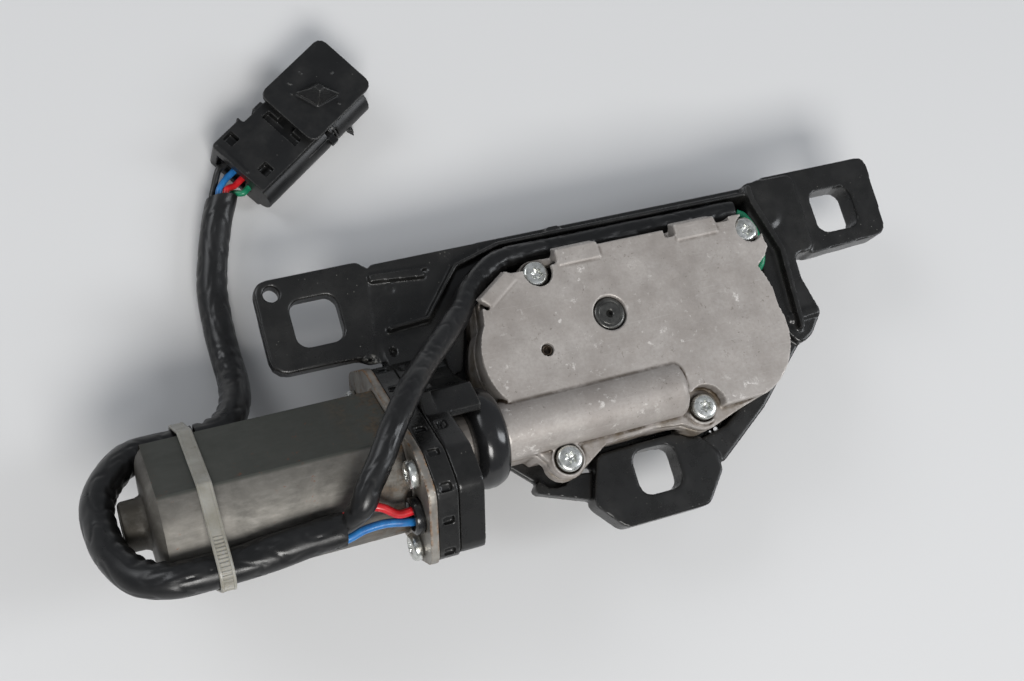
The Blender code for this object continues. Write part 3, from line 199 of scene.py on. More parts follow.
def filleted(corners, steps=6):
    """An outline from corners (x, y, radius), each rounded with its own radius."""
    made = []
    for i, (x, y, radius) in enumerate(corners):
        here = Vector((x, y))
        before = Vector(corners[i - 1][:2]) - here
        after = Vector(corners[(i + 1) % len(corners)][:2]) - here
        if radius <= 0:
            made.append((x, y))
            continue
        half = before.angle(after) / 2
        reach = min(radius / math.tan(half), 0.49 * before.length, 0.49 * after.length)
        radius = reach * math.tan(half)
        first, last = before.normalized(), after.normalized()
        centre = here + (first + last).normalized() * (radius / math.sin(half))
        start = here + first * reach - centre
        turn = start.angle_signed(here + last * reach - centre)
        for k in range(steps + 1):
            made.append(tuple(centre + Matrix.Rotation(-turn * k / steps, 2) @ start))
    return made


def inset(points, distance):
    """The outline moved inwards by distance. The points run counter-clockwise."""
    made = []
    count = len(points)
    for i, point in enumerate(points):
        here = Vector(point)
        before = (here - Vector(points[i - 1])).normalized()
        after = (Vector(points[(i + 1) % count]) - here).normalized()
        first, last = Vector((-before.y, before.x)), Vector((-after.y, after.x))
        middle = (first + last).normalized()
        made.append(tuple(here + middle * (distance / max(0.4, middle.dot(first)))))
    return made


def convex_hull(points):
    """The corners round all the points, counter-clockwise."""
    ordered = sorted(set(points))

    def half(run):
        chain = []
        for p in run:
            while len(chain) > 1:
                a, b = chain[-2], chain[-1]
                if (b[0] - a[0]) * (p[1] - a[1]) - (b[1] - a[1]) * (p[0] - a[0]) > TINY:
                    break
                chain.pop()
            chain.append(p)
        return chain[:-1]

    return half(ordered) + half(ordered[::-1])


def spaced(line, spacing):
    """Points evenly spaced along a line of points, about the spacing apart, and both its ends."""
    lengths = [0.0]
    for a, b in zip(line, line[1:]):
        lengths.append(lengths[-1] + (b - a).length)
    count = max(2, round(lengths[-1] / spacing))
    made, k = [], 0
    for i in range(count + 1):
        goal = lengths[-1] * i / count
        while k < len(line) - 2 and lengths[k + 1] < goal:
            k += 1
        share = (goal - lengths[k]) / max(lengths[k + 1] - lengths[k], TINY)
        made.append(line[k].lerp(line[k + 1], min(share, 1.0)))
    return made


def resampled(points, spacing):
    """A closed outline with points the same distance apart."""
    return spaced([Vector(p) for p in points] + [Vector(points[0])], spacing)[:-1]


def can_outline(radius, flat, steps=36):
    """A circle with two flats, as (y, z) about the motor's axis."""
    half = math.degrees(math.acos(min(flat / radius, 0.985)))
    turn = math.degrees(FLAT_TURN)
    near = arc((0, 0), radius, turn + half, turn + 180 - half, steps)
    far = arc((0, 0), radius, turn + 180 + half, turn + 360 - half, steps)
    return near + far


def flange_point(along, across):
    """A place on the motor's flange, as (y, z) about the motor's axis."""
    turn = FLAT_TURN + math.pi / 2
    y = along * math.cos(turn) + across * math.sin(turn)
    return y, along * math.sin(turn) - across * math.cos(turn)


def flange_outline(shrink=0.0, steps=7):
    """The flange's rim: one ear at each end, the lower one longer."""
    corners = [(-47, 8, 7), (-47, -8, 7), (-26, -22, 12), (28, -22, 8),
               (41, -15, 7), (41, 15, 7), (28, 22, 8), (-26, 22, 12)]
    return [flange_point(a, b) for a, b in inset(filleted(corners, steps), shrink)]


# ---------------------------------------------------------------- shapes, as (points, faces)

def loft(sections, closed=False):
    """Rings of 3-D points, all with the same count, capped at both ends or joined end to start."""
    count = len(sections[0])
    points = [p for section in sections for p in section]
    faces = []
    last = len(sections) if closed else len(sections) - 1
    for k in range(last):
        low, high = k * count, ((k + 1) % len(sections)) * count
        faces += [(low + i, low + (i + 1) % count, high + (i + 1) % count, high + i) for i in range(count)]
    if not closed:
        faces.append(tuple(range(count))[::-1])
        faces.append(tuple(range((len(sections) - 1) * count, len(sections) * count)))
    return points, faces


def prism(outline, bottom, top):
    return loft([[(x, y, z) for x, y in outline] for z in (bottom, top)])


def axis_ring(outline, x):
    return [(x, AXIS_Y + y, AXIS_Z + z) for y, z in outline]


def prism_x(outline, start, end):
    return loft([axis_ring(outline, start), axis_ring(outline, end)])


def bevelled_x(outline, start, end, width):
    """A prism along the motor's axis, with rounded rims."""
    angles = [k * math.pi / 6 for k in range(4)]
    steps = [(width * (1 - math.sin(a)), width * (1 - math.cos(a))) for a in angles]
    sections = [axis_ring(inset(outline, narrower), start + ahead) for narrower, ahead in steps]
    return loft(sections + [axis_ring(inset(outline, ahead), end - narrower) for narrower, ahead in steps])


def turned(profile, steps=72, centre=(0.0, 0.0), along_x=False):
    """A closed profile of (radius, height) turned about a vertical axis, or about the motor's axis."""
    sections = []
    for radius, height in profile:
        ring = circle((0, 0), max(radius, 0.002), steps)
        if along_x:
            sections.append(axis_ring(ring, height))
        else:
            sections.append([(centre[0] + x, centre[1] + y, height) for x, y in ring])
    return loft(sections, closed=True)


def block(low, high):
    outline = [(low[0], low[1]), (high[0], low[1]), (high[0], high[1]), (low[0], high[1])]
    return prism(outline, low[2], high[2])


def together(*shapes):
    points, faces = [], []
    for more_points, more_faces in shapes:
        start = len(points)
        points += more_points
        faces += [tuple(start + i for i in face) for face in more_faces]
    return points, faces


def moved(shape, matrix):
    return [tuple(matrix @ Vector(p)) for p in shape[0]], shape[1]


def smooth_route(route, spacing):
    """Points along a smooth curve through the route's own points, about the spacing apart."""
    points = [Vector(p) for p in route]
    dense = []
    for i in range(len(points) - 1):
        p1, p2 = points[i], points[i + 1]
        p0 = points[i - 1] if i else 2 * p1 - p2
        p3 = points[i + 2] if i + 2 < len(points) else 2 * p2 - p1
        for t in (k / 20 for k in range(20)):
            dense.append(0.5 * (2 * p1 + (p2 - p0) * t + (2 * p0 - 5 * p1 + 4 * p2 - p3) * t ** 2
                                + (3 * p1 - p0 - 3 * p2 + p3) * t ** 3))
    return spaced(dense + [points[-1]], spacing)


# ---------------------------------------------------------------- objects

def add_object(name, mesh):
    made = bpy.data.objects.new(name, mesh)
    bpy.context.scene.collection.objects.link(made)
    return made


def mesh_of(name, shape):
    mesh = bpy.data.meshes.new(name)
    mesh.from_pydata([Vector(p) * MM for p in shape[0]], [], shape[1])
    bm = bmesh.new()
    bm.from_mesh(mesh)
    bmesh.ops.remove_doubles(bm, verts=bm.verts, dist=SHAPE_WELD)
    bmesh.ops.recalc_face_normals(bm, faces=bm.faces)
    bm.to_mesh(mesh)
    bm.free()
    return mesh


def applied(piece):
    """Replaces the object's mesh by what its modifiers make of it."""
    graph = bpy.context.evaluated_depsgraph_get()
    mesh = bpy.data.meshes.new_from_object(piece.evaluated_get(graph))
    piece.modifiers.clear()
    piece.data = mesh
    return piece


def settle(piece, node, body, sharp_deg, look=None):
    """Shades a piece, gives it its node's finish, hangs it on the empty of the body it rides, and hides the
    node.
    """
    slot = SLOTS[node]
    piece.data.materials.clear()
    piece.data.materials.append(FINISHES[look or slot])
    piece.data.shade_smooth()
    piece.data.set_sharp_from_angle(angle=math.radians(sharp_deg))
    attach(piece, body)
    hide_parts(node)
    return piece


def moulded(name, node, extras=(), cutters=(), voxel=0.45, rounds=2, pierced=(), body="housing"):
    """The shape of a model node with details cut into it and added to it, and all its edges rounded.
    The cutters also go through the pierced additions, but not through the extras."""
    bm = bmesh.new()
    bm.from_mesh(frame["nodes"][node].data)
    bmesh.ops.remove_doubles(bm, verts=bm.verts, dist=NODE_WELD)
    mesh = bpy.data.meshes.new(name)
    bm.to_mesh(mesh)
    bm.free()
    piece = add_object(name, mesh)
    pads = [add_object(name + "_pad", mesh_of("pad", shape)) for shape in pierced]
    tools = [add_object(name + "_cutter", mesh_of("cutter", shape)) for shape in cutters]
    for whole in [piece] + pads:
        for tool in tools:
            step = whole.modifiers.new("cut", "BOOLEAN")
            step.operation, step.solver, step.object = "DIFFERENCE", "EXACT", tool
        applied(whole)
    bm = bmesh.new()
    bm.from_mesh(piece.data)
    for pad in pads:
        bm.from_mesh(pad.data)
    for shape in extras:
        bm.from_mesh(mesh_of("extra", shape))
    bm.to_mesh(piece.data)
    bm.free()
    for helper in tools + pads:
        bpy.data.objects.remove(helper, do_unlink=True)
    skin = piece.modifiers.new("skin", "REMESH")
    skin.mode, skin.voxel_size = "VOXEL", voxel * MM
    soft = piece.modifiers.new("soft", "SMOOTH")
    soft.factor, soft.iterations = 0.5, rounds
    applied(piece)
    mark_wear(piece)
    return settle(piece, node, body, MOULDED_SHARP_DEG)


def turned_piece(name, node, shape, body="housing", sharp_deg=35, look=None, worn=False):
    """A piece whose shape is made whole here: a turned, lofted or drawn one."""
    piece = add_object(name, mesh_of(name, shape))
    if worn:
        mark_wear(piece)
    return settle(piece, node, body, sharp_deg, look)


def mark_wear(piece, rounds=3, full=620.0):
    """Stores how far each point stands out on an edge, from -1 in a groove to 1 on a rim."""
    mesh = piece.data
    count = len(mesh.vertices)
    place, normal = np.empty(count * 3, np.float32), np.empty(count * 3, np.float32)
    mesh.vertices.foreach_get("co", place)
    mesh.vertices.foreach_get("normal", normal)
    place, normal = place.reshape(-1, 3).astype(float), normal.reshape(-1, 3).astype(float)
    ends = np.empty(len(mesh.edges) * 2, np.int32)
    mesh.edges.foreach_get("vertices", ends)
    first, last = ends.reshape(-1, 2).T
    links = np.maximum(np.bincount(ends, minlength=count), 1)

    def around(values):
        total = np.bincount(first, values[last], count) + np.bincount(last, values[first], count)
        return total / links

    middle = np.stack([around(place[:, k]) for k in range(3)], 1)
    reach = np.linalg.norm(place[first] - place[last], axis=1)
    reach = (np.bincount(first, reach, count) + np.bincount(last, reach, count)) / links
    bend = ((place - middle) * normal).sum(1) / np.maximum(reach, 1e-6) ** 2
    for _ in range(rounds):
        bend = (bend + around(bend)) / 2
    wear = mesh.attributes.new("wear", "FLOAT", "POINT")
    wear.data.foreach_set("value", np.clip(bend / full, -1, 1).astype(np.float32))


# ---------------------------------------------------------------- material nodes

class Finish:
    """One material and short calls for the nodes that pattern it."""

    def __init__(self, name, metallic=0.0, **plain):
        self.material = bpy.data.materials.new(name)
        self.material.use_nodes = True
        self.nodes = self.material.node_tree.nodes
        self.links = self.material.node_tree.links
        self.shader = self.nodes["Principled BSDF"]
        self.shader.inputs["Metallic"].default_value = metallic
        for socket, value in plain.items():
            self.shader.inputs[socket.replace("_", " ")].default_value = value
        self.place = self.nodes.new("ShaderNodeTexCoord").outputs["Object"]

    def put(self, socket, value):
        """Links an output to a socket, or sets the socket to a plain value."""
        if isinstance(value, bpy.types.NodeSocket):
            self.links.new(value, socket)
        elif hasattr(value, "__len__") and len(value) == 3 and len(socket.default_value) == 4:
            socket.default_value = (*value, 1.0)
        else:
            socket.default_value = value

    def add(self, kind, inputs, output=0, **settings):
        """An output of a new node, whose settings are made and whose inputs are filled."""
        node = self.nodes.new("ShaderNode" + kind)
        for name, value in settings.items():
            setattr(node, name, value)
        for key, value in inputs.items():
            self.put(node.inputs[key], value)
        return node.outputs[output]

    def stretched(self, stretch, turn=0.0):
        return self.add("Mapping", {"Vector": self.place, "Scale": stretch, "Rotation": (0, 0, turn)})

    def noise(self, per_metre, detail=4.0, roughness=0.55, vector=None, distortion=0.0):
        return self.add("TexNoise", {"Vector": vector or self.place, "Scale": per_metre, "Detail": detail,
                                     "Roughness": roughness, "Distortion": distortion}, "Fac")

    def cells(self, per_metre):
        """The distance to the nearest of many scattered points, in cells."""
        return self.add("TexVoronoi", {"Vector": self.place, "Scale": per_metre}, "Distance")

    def between(self, value, low, high, start=0.0, end=1.0):
        """start below low, end above high, and a straight slope between."""
        return self.add("MapRange", dict(enumerate((value, low, high, start, end))))

    def patches(self, kind, low, high, start=0.0, end=1.0):
        """A noise of a kind (per metre, detail, roughness), from start where it is low to end."""
        return self.between(self.noise(*kind), low, high, start, end)

    def sum(self, a, b, operation="ADD"):
        return self.add("Math", {0: a, 1: b}, operation=operation, use_clamp=True)

    def times(self, a, b):
        return self.sum(a, b, "MULTIPLY")

    def along(self, direction):
        """How far a point lies along a direction, in metres."""
        return self.add("VectorMath", {0: self.place, 1: direction}, "Value", operation="DOT_PRODUCT")

    def near(self, place_mm, reach_mm, blur):
        """1 close to a place, fading to 0 at the reach."""
        spot = [v * MM for v in place_mm]
        gap = self.add("VectorMath", {0: self.place, 1: spot}, "Value", operation="DISTANCE")
        return self.between(gap, reach_mm * MM * (1 - blur), reach_mm * MM, 1.0, 0.0)

    def axis(self, letter):
        return self.add("SeparateXYZ", {0: self.place}, letter)

    def wear(self):
        return self.add("Attribute", {}, "Fac", attribute_name="wear")

    def mixed(self, share, a, b):
        return self.add("Mix", {0: share, 6: a, 7: b}, 2, data_type="RGBA")

    def paint(self, share, colour):
        """Lays a colour over what is painted so far."""
        self.colour = self.mixed(share, self.colour, colour)

    def bumps(self, *layers):
        """Stacks (height, depth in millimetres) into the normal."""
        below = {}
        for height, depth in layers:
            inputs = {"Distance": depth * MM, "Strength": 1.0, "Height": height, **below}
            below = {"Normal": self.add("Bump", inputs)}
        self.put(self.shader.inputs["Normal"], below["Normal"])

    def done(self, roughness, metallic=None):
        self.put(self.shader.inputs["Base Color"], self.colour)
        self.put(self.shader.inputs["Roughness"], roughness)
        if metallic is not None:
            self.put(self.shader.inputs["Metallic"], metallic)
        return self.material


def die_cast_finish():
    """Satin cast aluminium: blotches, grain, drag marks, pale scuffs and dark pits, with painted shade
    in grooves, on the low sides and round the screws."""
    f = Finish("die_cast_aluminium", metallic=0.35)
    f.colour = f.mixed(f.patches((55, 6, 0.62), 0.36, 0.66), (0.30, 0.272, 0.25), (0.415, 0.385, 0.36))
    f.paint(f.patches((900, 3, 0.6), 0.35, 0.7, 0.0, 0.35), (0.25, 0.225, 0.205))
    drag = f.noise(60, 5, 0.7, f.stretched((1.0, 22.0, 1.0), 0.35))
    f.paint(f.between(drag, 0.6, 0.74, 0.0, 0.4), (0.52, 0.49, 0.46))
    scuff = f.times(f.patches((230, 6, 0.72), 0.6, 0.66), f.patches((38, 2), 0.44, 0.56))
    f.paint(f.times(scuff, 0.75), (0.66, 0.63, 0.6))
    wear = f.wear()
    f.paint(f.between(wear, 0.15, 0.9, 0.0, 0.55), (0.55, 0.53, 0.5))
    pits = f.times(f.patches((760, 3, 0.6), 0.63, 0.7), f.patches((70, 4), 0.4, 0.6))
    f.paint(f.times(pits, 0.55), (0.11, 0.09, 0.072))
    # Painted shade: brown-black in grooves and creases, along the tunnel's lower crease too.
    groove = f.between(wear, -0.03, -0.24)
    groove_shade = f.times(f.patches((150, 5, 0.65), 0.27, 0.55), groove)
    f.paint(groove_shade, (0.045, 0.03, 0.017))
    # Painted shade: brown darkening towards the bottom, over the tunnel's lower side and the walls below the
    # face.
    low = f.between(f.axis("Z"), 0.049, 0.0515, 1.0, 0.0)
    low_side_shade = f.times(f.patches((90, 5, 0.7), 0.44, 0.62), f.times(low, 0.7))
    f.paint(low_side_shade, (0.11, 0.078, 0.04))
    # Painted shade: a dark ring round each cover screw, where its recess lies in shade.
    for x, y in COVER_SCREWS:
        screw_ring_shade = f.near((x, y, SEAT_Z + SCREW_LIFT), 6.1, 0.16)
        f.paint(f.times(screw_ring_shade, 0.93), (0.028, 0.02, 0.012))
    rough = f.patches((120, 5, 0.6), 0.3, 0.7, 0.36, 0.56)
    f.bumps((f.noise(420, 5, 0.6), 0.05), (f.noise(2600, 3, 0.6), 0.02), (scuff, 0.03))
    return f.done(rough)


def plastic_finish(name, dark, shine):
    """Glossy black nylon: dust, specks, hairline scratches, scuffed rims and one chalky break."""
    f = Finish(name, Specular_IOR_Level=0.4)
    dust = f.patches((70, 6, 0.65), 0.45, 0.72, 0.0, 0.4)
    f.colour = f.mixed(dust, dark, (0.034, 0.033, 0.031))
    wear = f.wear()
    rim = f.times(f.between(wear, 0.3, 1.0), f.patches((300, 4, 0.7), 0.35, 0.7))
    f.paint(f.times(rim, 0.38), (0.16, 0.158, 0.15))
    hair = f.noise(45, 4, 0.75, f.stretched((1.0, 40.0, 1.0), 0.9))
    hair = f.between(hair, 0.68, 0.72, 0.0, 0.5)
    speck = f.times(f.between(f.cells(420), 0.1, 0.05), f.patches((30, 3), 0.52, 0.62))
    f.paint(f.times(speck, 0.5), (0.3, 0.29, 0.26))
    broken = f.sum(*[f.near(place, reach, 0.45) for place, reach in BROKEN_CORNER])
    chalk = f.times(broken, f.patches((420, 6, 0.75), 0.46, 0.54))
    f.paint(chalk, (0.62, 0.6, 0.54))
    rough = f.patches((95, 5, 0.6), 0.3, 0.7, *shine)
    rough = f.sum(f.sum(rough, f.times(chalk, 0.5)), f.times(hair, 0.2))
    f.bumps((f.noise(330, 4, 0.55), 0.035), (f.noise(1900, 2, 0.5), 0.008), (chalk, 0.12))
    return f.done(rough)


def can_finish():
    """Dull plated steel: cloudy, the upper flat darker olive, partly a film and partly a painted dark
    reflection, painted shade at the rear end, rusty by the flange, with red specks.
    """
    f = Finish("plated_can", metallic=0.55)
    cloud = f.noise(48, 7, 0.66, distortion=0.4)
    f.colour = f.mixed(f.between(cloud, 0.36, 0.66), (0.088, 0.083, 0.074), (0.178, 0.168, 0.15))
    fine = f.noise(520, 4, 0.6, f.stretched((0.35, 1.0, 1.0)))
    f.paint(f.between(fine, 0.45, 0.72, 0.0, 0.4), (0.235, 0.225, 0.205))
    # The upper flat: partly an olive film on the plating, partly a painted dark reflection.
    across = f.along((0, math.cos(FLAT_TURN), math.sin(FLAT_TURN)))
    top = (AXIS_Y * math.cos(FLAT_TURN) + AXIS_Z * math.sin(FLAT_TURN) + CAN_FLAT) * MM
    film = f.between(across, top - 0.0009, top - 0.0003)
    f.paint(f.times(film, 0.85), (0.05, 0.054, 0.046))
    x = f.axis("X")
    edge = f.between(x, -0.112, -0.0925)
    rust = f.times(f.patches((120, 7, 0.72), 0.43, 0.58), edge)
    brown = f.mixed(f.patches((600, 4), 0.35, 0.7), (0.035, 0.021, 0.01), (0.15, 0.088, 0.04))
    f.paint(rust, brown)
    # Painted shade: patchy darkening at the rear end of the can.
    rear = f.between(x, -0.169, -0.1765)
    f.paint(f.times(rear, f.patches((80, 6, 0.7), 0.22, 0.5)), (0.038, 0.033, 0.025))
    specks = f.times(f.patches((300, 5, 0.8), 0.62, 0.68), f.patches((25, 2), 0.45, 0.55))
    f.paint(f.times(specks, 0.8), (0.17, 0.06, 0.03))
    rough = f.patches((110, 6, 0.65), 0.3, 0.7, 0.46, 0.62)
    rough = f.sum(rough, f.times(rust, 0.3))
    f.bumps((f.noise(60, 3, 0.5), 0.05), (f.noise(900, 4, 0.6), 0.012), (rust, 0.05))
    metal = f.between(rust, 0.0, 1.0, 0.55, 0.05)
    return f.done(rough, metal)


def flange_finish():
    """Plated plate: grey faces and a rusty sheared edge."""
    f = Finish("plated_flange", metallic=0.7)
    f.colour = f.mixed(f.patches((75, 6, 0.65), 0.35, 0.65), (0.2, 0.185, 0.165), (0.38, 0.36, 0.325))
    rim = f.between(f.wear(), 0.05, 0.5)
    spread = f.sum(rim, f.patches((60, 3), 0.55, 0.7, 0.0, 0.6))
    rust = f.times(spread, f.patches((170, 7, 0.72), 0.42, 0.58))
    brown = f.mixed(f.patches((700, 4), 0.35, 0.68), (0.075, 0.035, 0.014), (0.25, 0.14, 0.065))
    f.paint(rust, brown)
    rough = f.sum(f.patches((200, 4), 0.3, 0.7, 0.32, 0.5), f.times(rust, 0.4))
    f.bumps((f.noise(800, 5, 0.65), 0.03), (rust, 0.06))
    return f.done(rough, f.between(rust, 0.0, 1.0, 0.75, 0.05))


def zinc_finish():
    """Bright zinc with a fine grain and brownish stains."""
    f = Finish("bright_zinc", metallic=0.95)
    f.colour = f.mixed(f.patches((450, 4), 0.35, 0.65), (0.5, 0.51, 0.48), (0.78, 0.79, 0.77))
    f.paint(f.patches((160, 5, 0.7), 0.56, 0.7, 0.0, 0.6), (0.26, 0.24, 0.19))
    rough = f.patches((600, 3), 0.3, 0.7, 0.2, 0.4)
    f.bumps((f.noise(1600, 3, 0.6), 0.012),)
    return f.done(rough)


def steel_finish(name, low, high, metal):
    """Dark ground steel under a film of oil."""
    f = Finish(name, metallic=metal)
    f.colour = f.mixed(f.patches((230, 5, 0.65), 0.35, 0.65), low, high)
    rough = f.patches((500, 4), 0.3, 0.7, 0.25, 0.42)
    f.bumps((f.noise(1500, 3, 0.6), 0.01),)
    return f.done(rough)


def rubber_finish():
    """Glossy black rubber with a little dust."""
    f = Finish("seal_rubber")
    dust = f.patches((190, 6, 0.7), 0.56, 0.75, 0.0, 0.35)
    f.colour = f.mixed(dust, (0.0085, 0.0085, 0.009), (0.045, 0.043, 0.04))
    rough = f.patches((120, 5, 0.6), 0.3, 0.7, 0.14, 0.3)
    f.bumps((f.noise(210, 3, 0.5), 0.03), (f.noise(1400, 3, 0.5), 0.006))
    return f.done(rough)


def sleeve_finish():
    """Soft black vinyl tubing: waxy sheen, handling marks, fine grain."""
    f = Finish("vinyl_sleeve", Specular_IOR_Level=0.45)
    film = f.patches((130, 6, 0.7), 0.5, 0.72, 0.0, 0.45)
    f.colour = f.mixed(film, (0.005, 0.005, 0.0052), (0.019, 0.019, 0.0186))
    rough = f.patches((85, 5, 0.6), 0.3, 0.7, 0.24, 0.44)
    f.bumps((f.noise(380, 5, 0.6), 0.045), (f.noise(2400, 3, 0.5), 0.008))
    return f.done(rough)


def nylon_finish():
    """Natural nylon, a little see-through and greyed, with brown soiling from handling."""
    f = Finish("natural_nylon", Subsurface_Weight=0.25, Subsurface_Radius=(0.002, 0.0016, 0.001))
    f.colour = f.mixed(f.patches((140, 5, 0.6), 0.35, 0.65), (0.225, 0.213, 0.178), (0.3, 0.29, 0.258))
    f.paint(f.patches((320, 6, 0.7), 0.58, 0.7, 0.0, 0.45), (0.14, 0.122, 0.09))
    f.bumps((f.noise(900, 3, 0.5), 0.012),)
    return f.done(f.patches((260, 4), 0.3, 0.7, 0.32, 0.5))


def wire_finish(name, dark, light):
    """PVC insulation with a soft shine and grey smudges."""
    f = Finish(name)
    f.colour = f.mixed(f.patches((330, 4, 0.6), 0.35, 0.68), dark, light)
    f.paint(f.patches((190, 6, 0.7), 0.6, 0.72, 0.0, 0.4), (0.05, 0.045, 0.04))
    f.bumps((f.noise(1300, 3, 0.5), 0.01),)
    return f.done(f.patches((240, 4), 0.3, 0.7, 0.26, 0.42))


def inner_finish(name, low, high, roughness, metallic, per_metre=260):
    """A two-tone worn surface for a piece inside the unit."""
    f = Finish(name, metallic=metallic)
    f.colour = f.mixed(f.patches((per_metre, 6, 0.65), 0.36, 0.64), low, high)
    f.bumps((f.noise(1500, 4, 0.6), 0.015),)
    return f.done(f.patches((400, 4), 0.3, 0.7, roughness - 0.08, roughness + 0.1))


# ---------------------------------------------------------------- gearbox

def band(centre, outer, inner, start_deg, end_deg, bottom, top, steps=48):
    """Part of an upright ring."""
    outline = arc(centre, outer, start_deg, end_deg, steps) + arc(centre, inner, end_deg, start_deg, steps)
    return prism(outline, bottom, top)


def wedge(corners, bottom, top, lean):
    """A prism whose outline shifts by lean on its way up."""
    dx, dy = lean
    return loft([[(x, y, bottom) for x, y in corners], [(x + dx, y + dy, top) for x, y in corners]])


def lobe_walls(bottom, top):
    """The round ends of the gearbox, just proud of the model's faceted ones."""
    return [band(RIGHT_LOBE, RIGHT_LOBE_R + 0.06, RIGHT_LOBE_R - 2, -72, 18, bottom, top),
            band(PIN, LEFT_LOBE_R + 0.06, LEFT_LOBE_R - 2, 146, 212, bottom, top)]


def tunnel_back():
    """The round back of the worm tunnel, its inner end eased down to a flat cap."""
    start = math.degrees(math.asin((COVER_BOTTOM_Z - AXIS_Z) / TUNNEL_R))
    low, high = TUNNEL_X
    sections = []
    for x, less in ((low, 0.0), (high - 2.6, 0.0), (high - 1.0, 0.7), (high - 0.1, 2.2)):
        outside = arc((0, 0), TUNNEL_R - less, start, 180 - start, 60)
        inside = arc((0, 0), TUNNEL_R - 1.6 - less, 180 - start, start, 60)
        sections.append(axis_ring(outside + inside, x))
    cap = prism_x(arc((0, 0), TUNNEL_R - 2.2, start, 180 - start, 40), high - 3.0, high - 0.1)
    return [loft(sections), cap]


def cover_piece():
    """The cover with fine round walls, three ramped lugs, rims round its lower screws and the tunnel."""
    above = FACE_Z + 2
    extras = tunnel_back() + lobe_walls(COVER_BOTTOM_Z, FACE_Z)
    extras.append(wedge([(-47.4, 16.0), (-44.2, 12.4), (-32.4, 20.6), (-35.0, 24.2)], 52.8, FACE_Z + 0.3,
                        (0.9, -0.9)))
    for start, end in ((-13.6, 2.6), (35.0, 51.6)):
        corners = [(start, 24), (end, 24), (end, 29.6), (start, 29.6)]
        extras.append(wedge(corners, 50.6, FACE_Z + 0.5, (0, -2.6)))
    for place, start, end in ((COVER_SCREWS[3], 0, 359.9), (COVER_SCREWS[2], 190, 300)):
        extras.append(band(place, 6.3, 5.4, start, end, SEAT_Z - 1, SEAT_Z + 1.3))
    cutters = [prism(circle((0, 0), SHAFT_R + 0.7, 64), FACE_Z - 0.5, above),
               prism(circle(PIN, 2.1, 32), FACE_Z - 1.2, above)]
    for start, end, y in ((-21.0, -14.2, 22.4), (30.2, 34.6, 23.2), (52.2, 58, 24.6)):
        corners = [(start, y, 1), (end, y, 1), (end, 30, 1), (start, 30, 1)]
        cutters.append(prism(filleted(corners), 50.2, above))
    notch = [(-44.8, 10.6, 0.6), (-41.6, 12.6, 0.6), (-44.6, 14.8, 0.4), (-48, 13.2, 0.4)]
    cutters.append(prism(filleted(notch), 50.2, above))
    cutters += [prism(circle(place, 5.5, 56), SEAT_Z + 0.2, above) for place in COVER_SCREWS[2:]]
    moulded("cover_casting", "gear_cover", extras, cutters, voxel=0.5)


def base_piece():
    """The base with fine round ends and short ribs round the spindle's tube."""
    extras = lobe_walls(BASE_BOTTOM_Z, 45.6)
    for k in range(8):
        turn = math.radians(22.5 + 45 * k)
        out = Vector((math.cos(turn), math.sin(turn)))
        side = Vector((-out.y, out.x)) * 0.7
        near, far = out * 10.8, out * 12.1
        rib = [near - side, far - side, far + side, near + side]
        extras.append(prism([tuple(p) for p in rib], 17.2, BASE_BOTTOM_Z - 3.4))
    moulded("base_casting", "gear_base", extras, voxel=0.55)


def torx_screw(head_r=4.8, shank_r=2.1, length=13.0, steps=96):
    """A pan-head screw with a six-lobed recess, its head resting on zero and facing up."""
    top = 3.2

    def ring(radius, height, depth=0.0):
        made = []
        for a in angles_of(steps):
            reach = radius + depth * math.cos(6 * a)
            made.append((reach * math.cos(a), reach * math.sin(a), height))
        return made

    sections = [ring(0.05, top - 2.3), ring(1.1, top - 2.0), ring(1.75, top - 1.75, 0.36),
                ring(1.86, top - 0.2, 0.42), ring(2.0, top - 0.03, 0.42)]
    for less, height in ((1.75, top), (1.0, top - 0.1), (0.45, top - 0.35), (0.12, top - 0.8),
                         (0.0, top - 1.3), (0.0, 0.55), (0.2, 0.2), (0.5, 0.02)):
        sections.append(ring(head_r - less, height))
    sections.append(ring(shank_r, 0.0))
    thread = 0.0
    while thread < length - 3.5:
        for wider, down in ((0.0, 0.0), (0.28, 0.45), (0.0, 0.9)):
            sections.append(ring(shank_r + wider, -thread - down))
        thread += 0.9
    sections += [ring(shank_r, -length + 1), ring(shank_r - 0.7, -length)]
    return loft(sections)


def screw_pieces():
    """All the screws, each turned by another angle, as drivers leave them."""
    made = []
    facing_down = Matrix.Rotation(math.pi, 4, "X")
    for i, (x, y) in enumerate(COVER_SCREWS):
        place = Matrix.Translation((x, y, SEAT_Z + SCREW_LIFT)) @ Matrix.Rotation(0.7 + 1.9 * i, 4, "Z")
        made.append((f"cover_screw_{i + 1}", moved(torx_screw(), place)))
    for i, (x, y) in enumerate(BRACKET_SCREWS):
        place = Matrix.Translation((x, y, 26.0)) @ facing_down @ Matrix.Rotation(i, 4, "Z")
        made.append((f"bracket_screw_{i + 1}", moved(torx_screw(3.8, 1.55, 8.2), place)))
    for i, spot in enumerate(MOTOR_SCREWS):
        y, z = flange_point(*spot)
        facing_rear = Matrix(((0, 0, -1, FLANGE_X[0] - SCREW_LIFT), (1, 0, 0, AXIS_Y + y),
                              (0, -1, 0, AXIS_Z + z), (0, 0, 0, 1)))
        place = facing_rear @ Matrix.Rotation(1.3 * i, 4, "Z")
        made.append((f"motor_screw_{i + 1}", moved(torx_screw(length=16.0), place)))
    for node, shape in made:
        turned_piece(node + "_turned", node, shape)


def level_circles(profile, steps):
    """A ring of points for each (radius, height)."""
    return [[(r * math.cos(a), r * math.sin(a), z) for a in angles_of(steps)] for r, z in profile]


